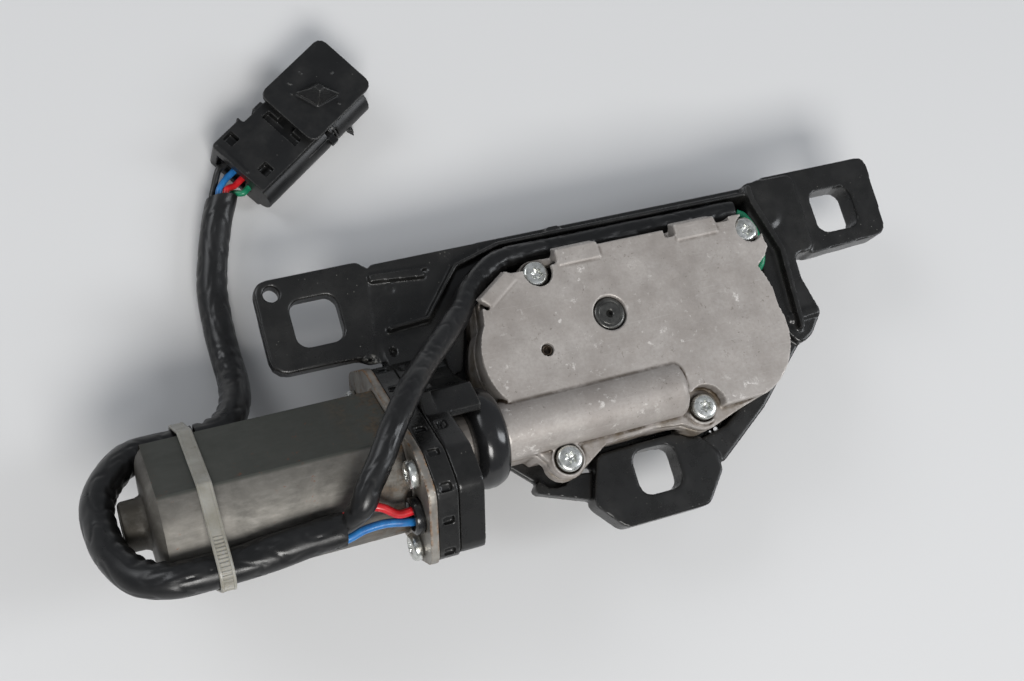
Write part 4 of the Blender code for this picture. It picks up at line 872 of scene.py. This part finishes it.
def spindle_piece():
    """The output shaft: turned top with its centre hole, bearing journals, knurled cone and threaded end."""
    steps, rows, pitch = 160, 60, 1.25
    top = FACE_Z
    plain = [(0.02, top - 3.6), (1.2, top - 3.5), (1.25, top - 0.95), (1.7, top - 0.55), (3.9, top - 0.6),
             (4.15, top - 0.8), (4.6, top - 0.8), (4.85, top - 0.55), (5.3, top - 0.6), (5.75, top - 0.85),
             (SHAFT_R, top - 1.3), (SHAFT_R, 13.5), (5.85, 13.4), (5.1, 13.3), (5.1, 12.2), (5.75, 12.1)]
    sections = level_circles(plain, steps)
    for k in range(9):
        cone, depth = 5.75 - 1.2 * k / 8, 0.13 * math.sin(math.pi * k / 8) ** 0.5
        ring = []
        for a in angles_of(steps):
            reach = cone + depth * math.cos(40 * a)
            ring.append((reach * math.cos(a), reach * math.sin(a), 12.0 - 3.2 * k / 8))
        sections.append(ring)
    for k in range(rows + 1):
        height = 8.3 - 7.7 * k / rows
        ease = min(1.0, k / 5, (rows - k) / 5)
        ring = []
        for a in angles_of(steps):
            turn = (height / pitch + a / (2 * math.pi)) % 1.0
            radius = 3.98 - 0.42 * ease * abs(2 * turn - 1)
            ring.append((radius * math.cos(a), radius * math.sin(a), height))
        sections.append(ring)
    sections += level_circles([(3.5, 0.2), (3.2, 0.0)], steps)
    turned_piece("output_spindle", "output_shaft", loft(sections), "output")


def pin_piece():
    """The worm wheel's pin, whose end was drilled hollow."""
    top = FACE_Z - 0.8
    profile = [(0.05, top - 2.6), (1.25, top - 2.4), (1.45, top - 0.1), (1.7, top), (2.0, top - 0.3),
               (2.0, 31.5), (0.05, 31.5)]
    turned_piece("axle_pin_turned", "axle_pin", turned(profile, 48, PIN), look="worn_pin")


def seal_piece():
    """The fat rubber ring round the neck, with two shoulders and a shallow groove between them."""
    low, high = SEAL_X
    inner, outer = TUNNEL_R + 0.3, 18.0
    section = [(inner, low)]
    quarter = [math.pi / 2 * k / 12 for k in range(13)]
    for t in quarter:
        section.append((outer - 4.6 * (1 - math.sin(t)), low + 4.6 * (1 - math.cos(t))))
    for k, t in enumerate(quarter):
        groove = 0.25 * math.sin(math.pi * min(1, k / 6))
        section.append((outer - groove - 5.4 * (1 - math.cos(t)), high - 5.4 * (1 - math.sin(t))))
    section += [(inner + 1.2, high), (inner, high)]
    turned_piece("neck_seal_ring", "neck_seal", turned(section, 96, along_x=True))


# ---------------------------------------------------------------- motor

def can_piece():
    """The drawn can with a soft rear shoulder and a stepped bearing boss, as (radius, flat, x)."""
    inner_r, inner_flat = CAN_R - CAN_WALL, CAN_FLAT - CAN_WALL
    rear, front, end = CAN_REAR_X, CAN_FRONT_X, BOSS_END_X
    profile = [(inner_r, inner_flat, rear + 6.5), (inner_r, inner_flat, front),
               (CAN_R - 0.4, CAN_FLAT - 0.4, front), (CAN_R, CAN_FLAT, front - 0.4)]
    profile += [(CAN_R, CAN_FLAT, front - 0.4 - 79.3 * k / 24) for k in range(1, 25)]
    for k in range(1, 11):
        t = math.pi / 2 * k / 10
        less = 7.0 * (1 - math.cos(t))
        profile.append((CAN_R - less, CAN_FLAT - less * 0.86, rear + 7.0 * (1 - math.sin(t)) + 0.3))
    profile += [(14.5, 12.6, rear + 0.15), (11.0, 10.6, rear + 0.1)]
    for radius, x in ((9.6, rear - 0.2), (9.0, rear - 0.9), (8.6, rear - 2.0), (8.45, end + 1.3),
                      (8.1, end + 0.5), (7.4, end + 0.05), (5.0, end), (4.4, end + 0.5), (0.3, end + 0.6),
                      (0.3, end + 1.6), (6.9, end + 1.6), (6.9, rear + 2.0)):
        profile.append((radius, radius, x))
    profile.append((inner_r - 6, inner_flat - 6, rear + 3.4))
    shape = loft([axis_ring(can_outline(r, flat), x) for r, flat, x in profile], closed=True)
    turned_piece("can_shell", "motor_can", shape, sharp_deg=28, worn=True)


def flange_piece():
    """The sheared flange plate, with a small pressed bead round the can."""
    bead = []
    for wider, ahead in ((1.6, 0.2), (0.9, -0.6), (0.1, -0.6), (-1.0, 0.2)):
        bead.append(axis_ring(can_outline(CAN_R + wider, CAN_FLAT + wider), FLANGE_X[0] + ahead))
    moulded("flange_plate", "motor_flange", [loft(bead, closed=True)], voxel=0.4)


def holder_piece():
    """The brush holder plate, its rim notched where its clips and vents are."""
    rim = resampled(flange_outline(0.8), 1.0)
    cutters = []
    for at in range(6, len(rim), 13):
        here, after = rim[at], rim[(at + 3) % len(rim)]
        along = (after - here).normalized()
        out = Vector((along.y, -along.x))
        outline = [here + out * 1.5, after + out * 1.5, after - out * 0.9, here - out * 0.9]
        cutters.append(prism_x([tuple(p) for p in outline], HOLDER_X[0] + 1.6, HOLDER_X[1] - 1.8))
    moulded("holder_plate", "brush_holder", cutters=cutters)


def grommet_piece():
    """The rubber grommet with its lip in front of the flange."""
    y, z = flange_point(31.5, 0)
    rear, front = FLANGE_X
    lip = ((4.4, -1.6), (4.4, -2.6), (4.9, -3.4), (5.6, -3.4), (6.3, -2.9), (6.5, -1.8), (6.3, -0.7),
           (5.5, -0.3))
    profile = [(radius, rear + ahead) for radius, ahead in lip]
    profile += [(5.4, front - 0.2), (0.2, front - 0.2), (0.2, rear - 1.6)]
    shape = moved(turned(profile, 56, along_x=True), Matrix.Translation((0, y, z)))
    turned_piece("lead_grommet_ring", "lead_grommet", shape)


# ---------------------------------------------------------------- carrier

def rib_run(start, end, width, bottom, top):
    """A straight upright rib between two places."""
    a, b = Vector(start), Vector(end)
    side = Vector((-(b - a).y, (b - a).x)).normalized() * (width / 2)
    return prism([tuple(p) for p in (a - side, b - side, b + side, a + side)], bottom, top)


def face_details():
    """What stands up from the carrier's upper side: gusset, ejector marks, rim line, bump and arm end."""
    gusset = filleted([(-79.5, 36.4, 0.6), (-79.8, 33.6, 0.6), (-59.0, 31.4, 0.9), (-58.8, 33.0, 0.5)])
    arm_end = filleted([(78, -13.6, 1), (92.2, -12.6, 1), (91.4, -15.8, 1), (78, -16.6, 1)])
    bump = (84.2, 27.0)
    made = [band((-76.0, 24.6), 4.5, 4.15, 0, 359.9, 38.8, 39.3, 48), prism(gusset[::-1], TAB_Z - 0.9, 41.2)]
    made += [prism(circle(place, radius, 20), 38.8, TAB_Z) for place, radius in
             (((-72.7, 30.2), 1.5), ((-74.9, 18.2), 1.2))]
    made += [rib_run((start, 38.9), (end, 38.9), 0.5, 39.3, 39.8) for start, end in ((-33, -14), (2, 74))]
    made += [prism(circle(bump, 3.6, 32), TAB_Z, 40.7), band(bump, 4.6, 4.2, 0, 359.9, TAB_Z, 40.4, 40)]
    return made + [prism(arm_end[::-1], 39.2, 40.9)]


def underside_ribs():
    """A web of ribs between the carrier's tabs, round the spindle and round the bracket screws."""
    rear, corner, middle, top, right, arm = (-70, 5), (-70, 31), (30, 31), (70, 31), (78, 0), (52, 0)
    runs = [(rear, (-12, 5)), (corner, top), ((14, 0), right), ((-9, -9), (-34, -44)), ((9, -9), (24, -44)),
            ((9, 9), middle), ((-9, 9), (-28, 31)), (top, right), (right, (62, -34)), (rear, corner),
            (middle, arm), (arm, (40, -36)), ((-44, 12), (-52, 31))]
    ribs = [rib_run(a, b, 1.5, UNDER_RIB_Z, UNDER_Z) for a, b in runs]
    ribs.append(band((0, 0), 14.6, 13.0, 0, 359.9, 22.8, UNDER_Z, 56))
    return ribs + [band(place, 6.2, 4.9, 0, 359.9, 23.8, UNDER_Z, 40) for place in BRACKET_SCREWS]


def carrier_cutters():
    """The left tab's two holes, the chips of its broken corner, and the motor seat's lightening slots."""
    hole = [(x, y, 4.5) for x, y in ((-110.3, 33), (-110.3, 15.3), (-92.7, 15.3), (-92.7, 33))]
    cutters = [prism(filleted(hole), 20, 60), prism(circle((-115.0, 37.0), 2.9, 32), 20, 60)]
    for k in range(5):
        x, y = -88.6 + 1.2 * k, 7.6 - 2.0 * k
        chip = [(x - 1.2, y), (x + 1.2, y - 0.6), (x + 0.9 * (k % 2), y + 1.6 + 0.5 * (k % 3))]
        cutters.append(wedge(chip, 35.0 + k % 3, 41.0, (0.4, -0.6)))
    for along in (-34.0, -24.0, -12.0, 14.0):
        corners = ((-2.2, 19.2), (2.2, 19.2), (2.2, 26), (-2.2, 26))
        spots = [flange_point(along + a, b) for a, b in corners]
        cutters.append(prism_x(spots, SEAT_X[0] + 2.2, SEAT_X[0] + 4.6))
    return cutters


def carrier_piece():
    """The carrier with its raised left tab, details on both sides and its chipped corner."""
    tab = filleted([(-120.2, 41.6, 4.6), (-120.6, 8.3, 5.4), (-90.5, 8.1, 3), (-84.5, 6.6, 3),
                    (-79.3, 39.8, 1), (-81.8, 41.8, 3)])
    moulded("carrier_moulding", "carrier_bracket", face_details() + underside_ribs(), carrier_cutters(),
            voxel=0.6, pierced=[prism(tab[::-1], TAB_Z - 0.9, TAB_Z)])


# ---------------------------------------------------------------- harness

def tube_frames(path):
    """Each point of the path with two directions across it that turn as little as they can."""
    made = []
    across = Vector((0.2, 0.1, 1.0))
    for i, here in enumerate(path):
        along = (path[min(i + 1, len(path) - 1)] - path[max(i - 1, 0)]).normalized()
        across = (across - along * across.dot(along)).normalized()
        made.append((here, along, across, along.cross(across)))
    return made


def soft_tube(path, radius, steps=40, crumple=0.0, squeeze=0.0, wall=0.0, seed=0.0, nip=1.0, slant=0.0):
    """A sleeve along a path: squeezed a little, creased, and folded where it bends. It can have a wall at
    its open ends, a nipped start, whose share of the radius is nip, and a slanting cut at its far end."""
    frames = tube_frames(path)
    count = len(frames)
    rings = []
    travel = 0.0
    for i, (here, along, across, beside) in enumerate(frames):
        if i:
            travel += (here - frames[i - 1][0]).length
        ahead = frames[min(i + 6, count - 1)][1] - frames[max(i - 6, 0)][1]
        near = range(max(i - 5, 1), min(i + 7, count))
        bend = ahead / max(sum((frames[k][0] - frames[k - 1][0]).length for k in near), 0.1)
        oval = squeeze * noise.noise(Vector((travel / 34 + seed, 3.1, seed)))
        lean = 3.0 * noise.noise(Vector((travel / 45, seed, 7.7)))
        start = nip + (1 - nip) * min(1.0, 14 * i / (count - 1))
        late = max(0.0, 1 - (count - 1 - i) / 10)
        ring = []
        for k in range(steps):
            a = 2 * math.pi * k / steps
            out = across * math.cos(a) + beside * math.sin(a)
            spot = Vector((math.cos(a) * 0.9, math.sin(a) * 0.9, travel / (radius * 2.6) + seed))
            swell = 0.35 * noise.noise(spot)
            crease = max(0.0, 1 - 5.5 * abs(noise.noise(spot * 1.5 + Vector((9, 4, seed))))) ** 2
            inside = max(0.0, out.dot(bend)) * radius
            fold = inside * math.sin(travel / (radius * 0.17) + 2.0 * math.cos(a)) * 1.5
            grow = crumple * (swell - 0.75 * crease) + crumple * 2.2 * min(max(fold, -0.4), 0.4)
            reach = radius * (1 + oval * math.cos(2 * (a - lean)) + min(grow, 0.1)) * start
            ring.append(tuple(here + out * reach + along * (slant * late * math.cos(a - 0.6))))
        rings.append(ring)
    if wall:
        first, last = [[tuple(frames[end][0] + (Vector(p) - frames[end][0]) * (1 - wall / radius))
                        for p in rings[end]] for end in (0, -1)]
        inward = frames[0][1] * MOUTH_DEPTH, frames[-1][1] * -MOUTH_DEPTH
        deep = [[tuple(Vector(p) + step) for p in mouth] for mouth, step in zip((first, last), inward)]
        rings = [deep[0], first] + rings + [last, deep[1]]
    return loft(rings)


def harness_pieces():
    """The sleeve held round the motor, and the thin one, nipped where it comes out of the thick one."""
    held = smooth_route(HARNESS_HELD, 0.8)[::-1]
    turned_piece("harness_sleeve_held", "harness_sleeve",
                 soft_tube(held, SLEEVE_R, 56, 0.085, 0.06, 0.7, 4.0, slant=0.8))
    inside = [(-121.5, -52.4, 72.6), (-117.2, -51.6, 75.0), (-113.6, -49.6, 79.0)]
    control = smooth_route(inside + CONTROL, 0.7)
    turned_piece("control_sleeve_soft", "control_sleeve",
                 soft_tube(control, CONTROL_R, 48, 0.085, 0.09, 0.6, 1.3, nip=0.62))


def free_lead():
    """The free end of the harness, and how far it runs."""
    path = smooth_route(HARNESS_FREE, 0.8)
    length = sum((b - a).length for a, b in zip(path, path[1:]))
    shape = soft_tube(path, SLEEVE_R, 56, 0.07, 0.06, 0.7, 8.0, slant=2.2)
    return turned_piece("harness_lead_free", "harness_lead", shape), path, length


def lead_pieces():
    """The motor's two leads, from inside the grommet to inside the sleeve, and the green wire."""
    hole_y, hole_z = flange_point(31.5, 0)
    routes = {}
    for node, route, shift, sideways in (("red_lead", RED, 1.7, -1.4), ("blue_lead", BLUE, -1.7, 1.0)):
        start = (FLANGE_X[0] - 2.0, AXIS_Y + hole_y + shift, AXIS_Z + hole_z + shift)
        inward = Vector(route[-1]) + Vector((-6.0, sideways, -0.8))
        routes[node] = [start] + route + [tuple(inward)]
    routes["green_wire"] = GREEN
    for node, route in routes.items():
        path = smooth_route(route, 0.6)
        turned_piece(node + "_insulated", node, soft_tube(path, LEAD_R, 28, 0.02, 0.03))


def tie_piece():
    """The cable tie: a thin band with rounded edges and fine teeth, its head and its cut tail."""
    reach = CAN_R + SLEEVE_R + 0.5
    rounds = [can_outline(CAN_R + 0.3, CAN_FLAT + 0.3, 40)]
    for angle in (135.6, -36.0):
        place = (reach * math.cos(math.radians(angle)), reach * math.sin(math.radians(angle)))
        rounds.append(circle(place, SLEEVE_R + 0.6, 72))
    line = resampled(convex_hull([point for ring in rounds for point in ring]), 0.3)
    middle = (TIE_X[0] + TIE_X[1]) / 2
    half = (TIE_X[1] - TIE_X[0]) / 2
    rings = []
    for i, here in enumerate(line):
        along = (line[(i + 1) % len(line)] - line[i - 1]).normalized()
        out = Vector((along.y, -along.x))
        toothed = here.x < -13 and here.y > -12
        tooth = 0.32 * (1 if (i // 2) % 2 else 0) if toothed else 0.0
        side = [(0.3, 0.1), (0.0, 0.35), (0.0, 0.95), (0.3, 1.25), (0.9, 1.3), (1.0, 1.16 - tooth)]
        section = [(less - half, rise) for less, rise in side]
        section += [(half - less, rise) for less, rise in side[::-1]]
        rings.append([(middle + x, AXIS_Y + here.x + out.x * rise, AXIS_Z + here.y + out.y * rise)
                      for x, rise in section])
    start, end = TIE_X
    head = bevelled_x([(12, -25.6), (12, -31.0), (3.5, -31.4), (4, -25.6)], start - 1.2, end + 1.2, 0.5)
    tail = bevelled_x([(2.4, -29.9), (3.8, -29.9), (3.8, -28.6), (2.4, -28.6)], start + 0.4, end - 0.4, 0.3)
    turned_piece("cable_tie_band", "cable_tie", together(loft(rings, closed=True), head, tail))


# ---------------------------------------------------------------- connector

def on_connector(shape):
    """A shape in the connector's own axes, moved to where the connector lies."""
    place = Matrix.Translation((*CONNECTOR, 0)) @ Matrix.Rotation(CONNECTOR_TURN, 4, "Z")
    return moved(shape, place)


def local_block(low, high):
    return on_connector(block(low, high))


def barrel_ring(start, end, radius, y, z=7.6, steps=48):
    """A round bar along the connector."""
    ring = circle((0, 0), radius, steps)
    return on_connector(loft([[(x, y + a, z + b) for a, b in ring] for x in (start, end)]))


def port_y(index):
    """Where a wire goes into the connector, across it."""
    return -4.5 + 4.2 * index


def diamond(half_length, half_width, z, centre=(17.5, 0.0)):
    """A diamond on the clip plate, turned by 45 degrees."""
    slant = math.sqrt(0.5)
    return [(centre[0] + slant * (a + b), centre[1] + slant * (b - a), z)
            for a, b in ((-half_length, 0), (0, -half_width), (half_length, 0), (0, half_width))]


def connector_shell():
    """The connector's housing with its round key rail, windows, catches and wire ports."""
    length, width, height = CONNECTOR_SIZE
    x, y = length / 2, width / 2
    front, rail_y = x + 6, -y + 6
    extras = [barrel_ring(start, end, radius, rail_y) for start, end, radius in
              ((-x + 0.4, 10.5, 6.5), (15.8, front + 2.7, 6.5), (12.6, 13.4, 6.5), (14.2, 15.0, 6.75),
               (front - 1.6, front + 3.4, 5.4))]
    hook = [[(21.4, rail_y - 6, 3.0), (24.2, rail_y - 6, 3.0), (22.4, rail_y - 9.6, 3.0)],
            [(21.4, rail_y - 5.6, 6.0), (24.2, rail_y - 5.6, 6.0), (22.4, rail_y - 8.8, 6.0)]]
    extras += [
        local_block((-2.7, y - 2.4, 4), (2.0, y - 0.6, 15.6)),
        local_block((-10.3, y - 2.4, 9), (-9.2, y + 0.8, 15.8)),
        on_connector(loft(hook)),
        local_block((-x + 1.2, -2.0, height - 0.9), (-x + 2.2, y - 1.4, height - 0.1)),
    ]
    cutters = [
        local_block((-2.6, -7.2, height - 3.4), (1.0, 9.4, height + 2)),
        local_block((1.0, -2.6, height - 3.4), (8.4, 4.6, height + 2)),
        local_block((-x - 1, -5.2, 3.4), (-x + 2.6, 11.4, 11.8)),
        local_block((10.8, rail_y - 8, 12.0), (12.2, rail_y + 2.2, 20)),
    ]
    cutters += [barrel_ring(-x - 4, -x + 7, 1.75, port_y(k), PORT_Z, 24) for k in range(4)]
    return moulded("connector_shell", "connector_housing", extras, cutters, voxel=0.32)


def clip_plate():
    """The clip plate with its layered dart and a few moulded marks round it."""
    dart = []
    for a, b, low, high in ((8.6, 5.2, 20.0, 20.9), (8.0, 4.8, 21.8, 22.9), (6.4, 4.0, 23.5, 24.5),
                            (4.6, 3.0, 25.1, 26.0), (2.6, 2.0, 26.6, 27.4)):
        dart.append(on_connector(loft([diamond(a, b, low), diamond(a * 0.86, b * 0.8, high)])))
    dart.append(on_connector(loft([diamond(8.4, 0.7, 20.0), diamond(1.6, 0.6, 27.6)])))
    dart.append(on_connector(loft([diamond(1.6, 4.6, 20.0), diamond(1.2, 1.2, 27.4)])))
    for degrees, start, reach in ((82, 9.2, 10.6), (118, 10.0, 11.6), (141, 9.4, 10.2), (8, 9.8, 11.0),
                                  (286, 8.8, 9.9)):
        a = math.radians(degrees)
        out, middle = Vector((math.cos(a), math.sin(a))), Vector((18.5, 0.8))
        dart.append(on_connector(rib_run(middle + out * start, middle + out * reach, 0.5, 20.0, 20.55)))
    return moulded("connector_clip_plate", "connector_clip", dart, voxel=0.28, rounds=1)


def lock_slider():
    """The sliding lock with four grip ridges."""
    y = CONNECTOR_SIZE[1] / 2
    grips = [local_block((9.0 + 1.3 * k, -y + 1.4, 12.3), (9.6 + 1.3 * k, -y + 3.5, 12.75)) for k in range(4)]
    return moulded("connector_lock_slider", "connector_lock", grips, voxel=0.2, rounds=1, body="lock")


def connector_wires():
    """Four short wires from the cut end of the sleeve into the back of the connector."""
    end = Vector(HARNESS_FREE[-1])
    heading = (end - Vector(HARNESS_FREE[-2])).normalized()
    side = Vector((heading.y, -heading.x, 0)).normalized()
    turn = Matrix.Rotation(CONNECTOR_TURN, 3, "Z")
    made = []
    for i, (name, spread, rise) in enumerate((("green", 3.4, -1.0), ("red", 1.2, 2.4), ("blue", -1.4, 2.2),
                                              ("black", -3.6, -0.8))):
        up = Vector((0, 0, rise))
        inside = end - heading * 5 + side * spread * 0.6 + up * 0.5
        start = end + heading * 0.4 + side * spread + up
        goal = Vector((*CONNECTOR, 0)) + turn @ Vector((-CONNECTOR_SIZE[0] / 2 - 0.4, port_y(i), PORT_Z))
        before, deep = goal - turn @ Vector((2.6, 0, -0.2)), goal + turn @ Vector((4.0, 0, 0))
        path = smooth_route([inside, start, start + heading * 3, before, goal, deep], 0.5)
        made.append(turned_piece(f"plug_wire_{name}", f"wire_{name}",
                                 soft_tube(path, WIRE_R, 24, 0.02, 0.03, seed=i)))
    return made


# ---------------------------------------------------------------- the pieces that stay as modelled

def inner_pieces():
    """Gives every node that is still shown the finish of its material slot."""
    for name, node in frame["nodes"].items():
        if node.hide_render:
            continue
        material = FINISHES[SLOTS[name]]
        if not node.material_slots:
            node.data.materials.append(material)
        for slot in node.material_slots:
            slot.link = "OBJECT"
            slot.material = material


def make_finishes():
    """The finish of each material slot. The worn pin's end is darker than the rest of its slot."""
    return {
        "die_cast": die_cast_finish(),
        "gasket": inner_finish("gasket_paper", (0.05, 0.05, 0.05), (0.09, 0.09, 0.085), 0.7, 0.0),
        "black_plastic": plastic_finish("black_moulding", (0.0085, 0.0084, 0.0081), (0.2, 0.36)),
        "connector_plastic": plastic_finish("connector_moulding", (0.0052, 0.0053, 0.0055), (0.3, 0.44)),
        "can_steel": can_finish(),
        "flange_steel": flange_finish(),
        "zinc": zinc_finish(),
        "dark_steel": steel_finish("oiled_steel", (0.05, 0.05, 0.048), (0.13, 0.128, 0.12), 0.85),
        "worn_pin": steel_finish("worn_pin", (0.02, 0.014, 0.009), (0.075, 0.056, 0.04), 0.6),
        "bronze": inner_finish("sintered_bronze", (0.22, 0.12, 0.05), (0.4, 0.25, 0.11), 0.45, 0.85),
        "copper": inner_finish("enamelled_copper", (0.36, 0.12, 0.05), (0.6, 0.26, 0.12), 0.32, 0.8, 900),
        "ferrite": inner_finish("ferrite", (0.035, 0.035, 0.038), (0.07, 0.07, 0.072), 0.7, 0.1),
        "carbon": inner_finish("brush_carbon", (0.02, 0.02, 0.02), (0.06, 0.055, 0.05), 0.6, 0.2),
        "rubber": rubber_finish(),
        "sleeve": sleeve_finish(),
        "nylon": nylon_finish(),
        "acetal": inner_finish("greased_acetal", (0.55, 0.52, 0.42), (0.78, 0.76, 0.7), 0.3, 0.0),
        "board": inner_finish("solder_mask", (0.015, 0.1, 0.045), (0.03, 0.17, 0.08), 0.35, 0.0, 500),
        "red_wire": wire_finish("red_insulation", (0.42, 0.006, 0.01), (0.62, 0.016, 0.022)),
        "blue_wire": wire_finish("blue_insulation", (0.012, 0.115, 0.34), (0.025, 0.2, 0.5)),
        "green_insulation": wire_finish("green_insulation", (0.004, 0.13, 0.06), (0.01, 0.24, 0.12)),
        "black_wire": wire_finish("black_insulation", (0.008, 0.008, 0.008), (0.02, 0.02, 0.02)),
    }


def build():
    for old in ("Cube", "Light", "Camera"):
        if old in bpy.data.objects:
            bpy.data.objects.remove(bpy.data.objects[old], do_unlink=True)
    make_camera()
    FINISHES.update(make_finishes())
    lead, path, length = free_lead()
    wires = connector_wires()
    plug = [connector_shell(), clip_plate(), lock_slider()]
    make_floor()
    make_lights()
    for make_piece in (cover_piece, base_piece, screw_pieces, spindle_piece, pin_piece, seal_piece, can_piece,
                       flange_piece, holder_piece, grommet_piece, carrier_piece, harness_pieces, lead_pieces,
                       tie_piece, inner_pieces):
        make_piece()
    bpy.context.scene.view_settings.view_transform = "Standard"


build()
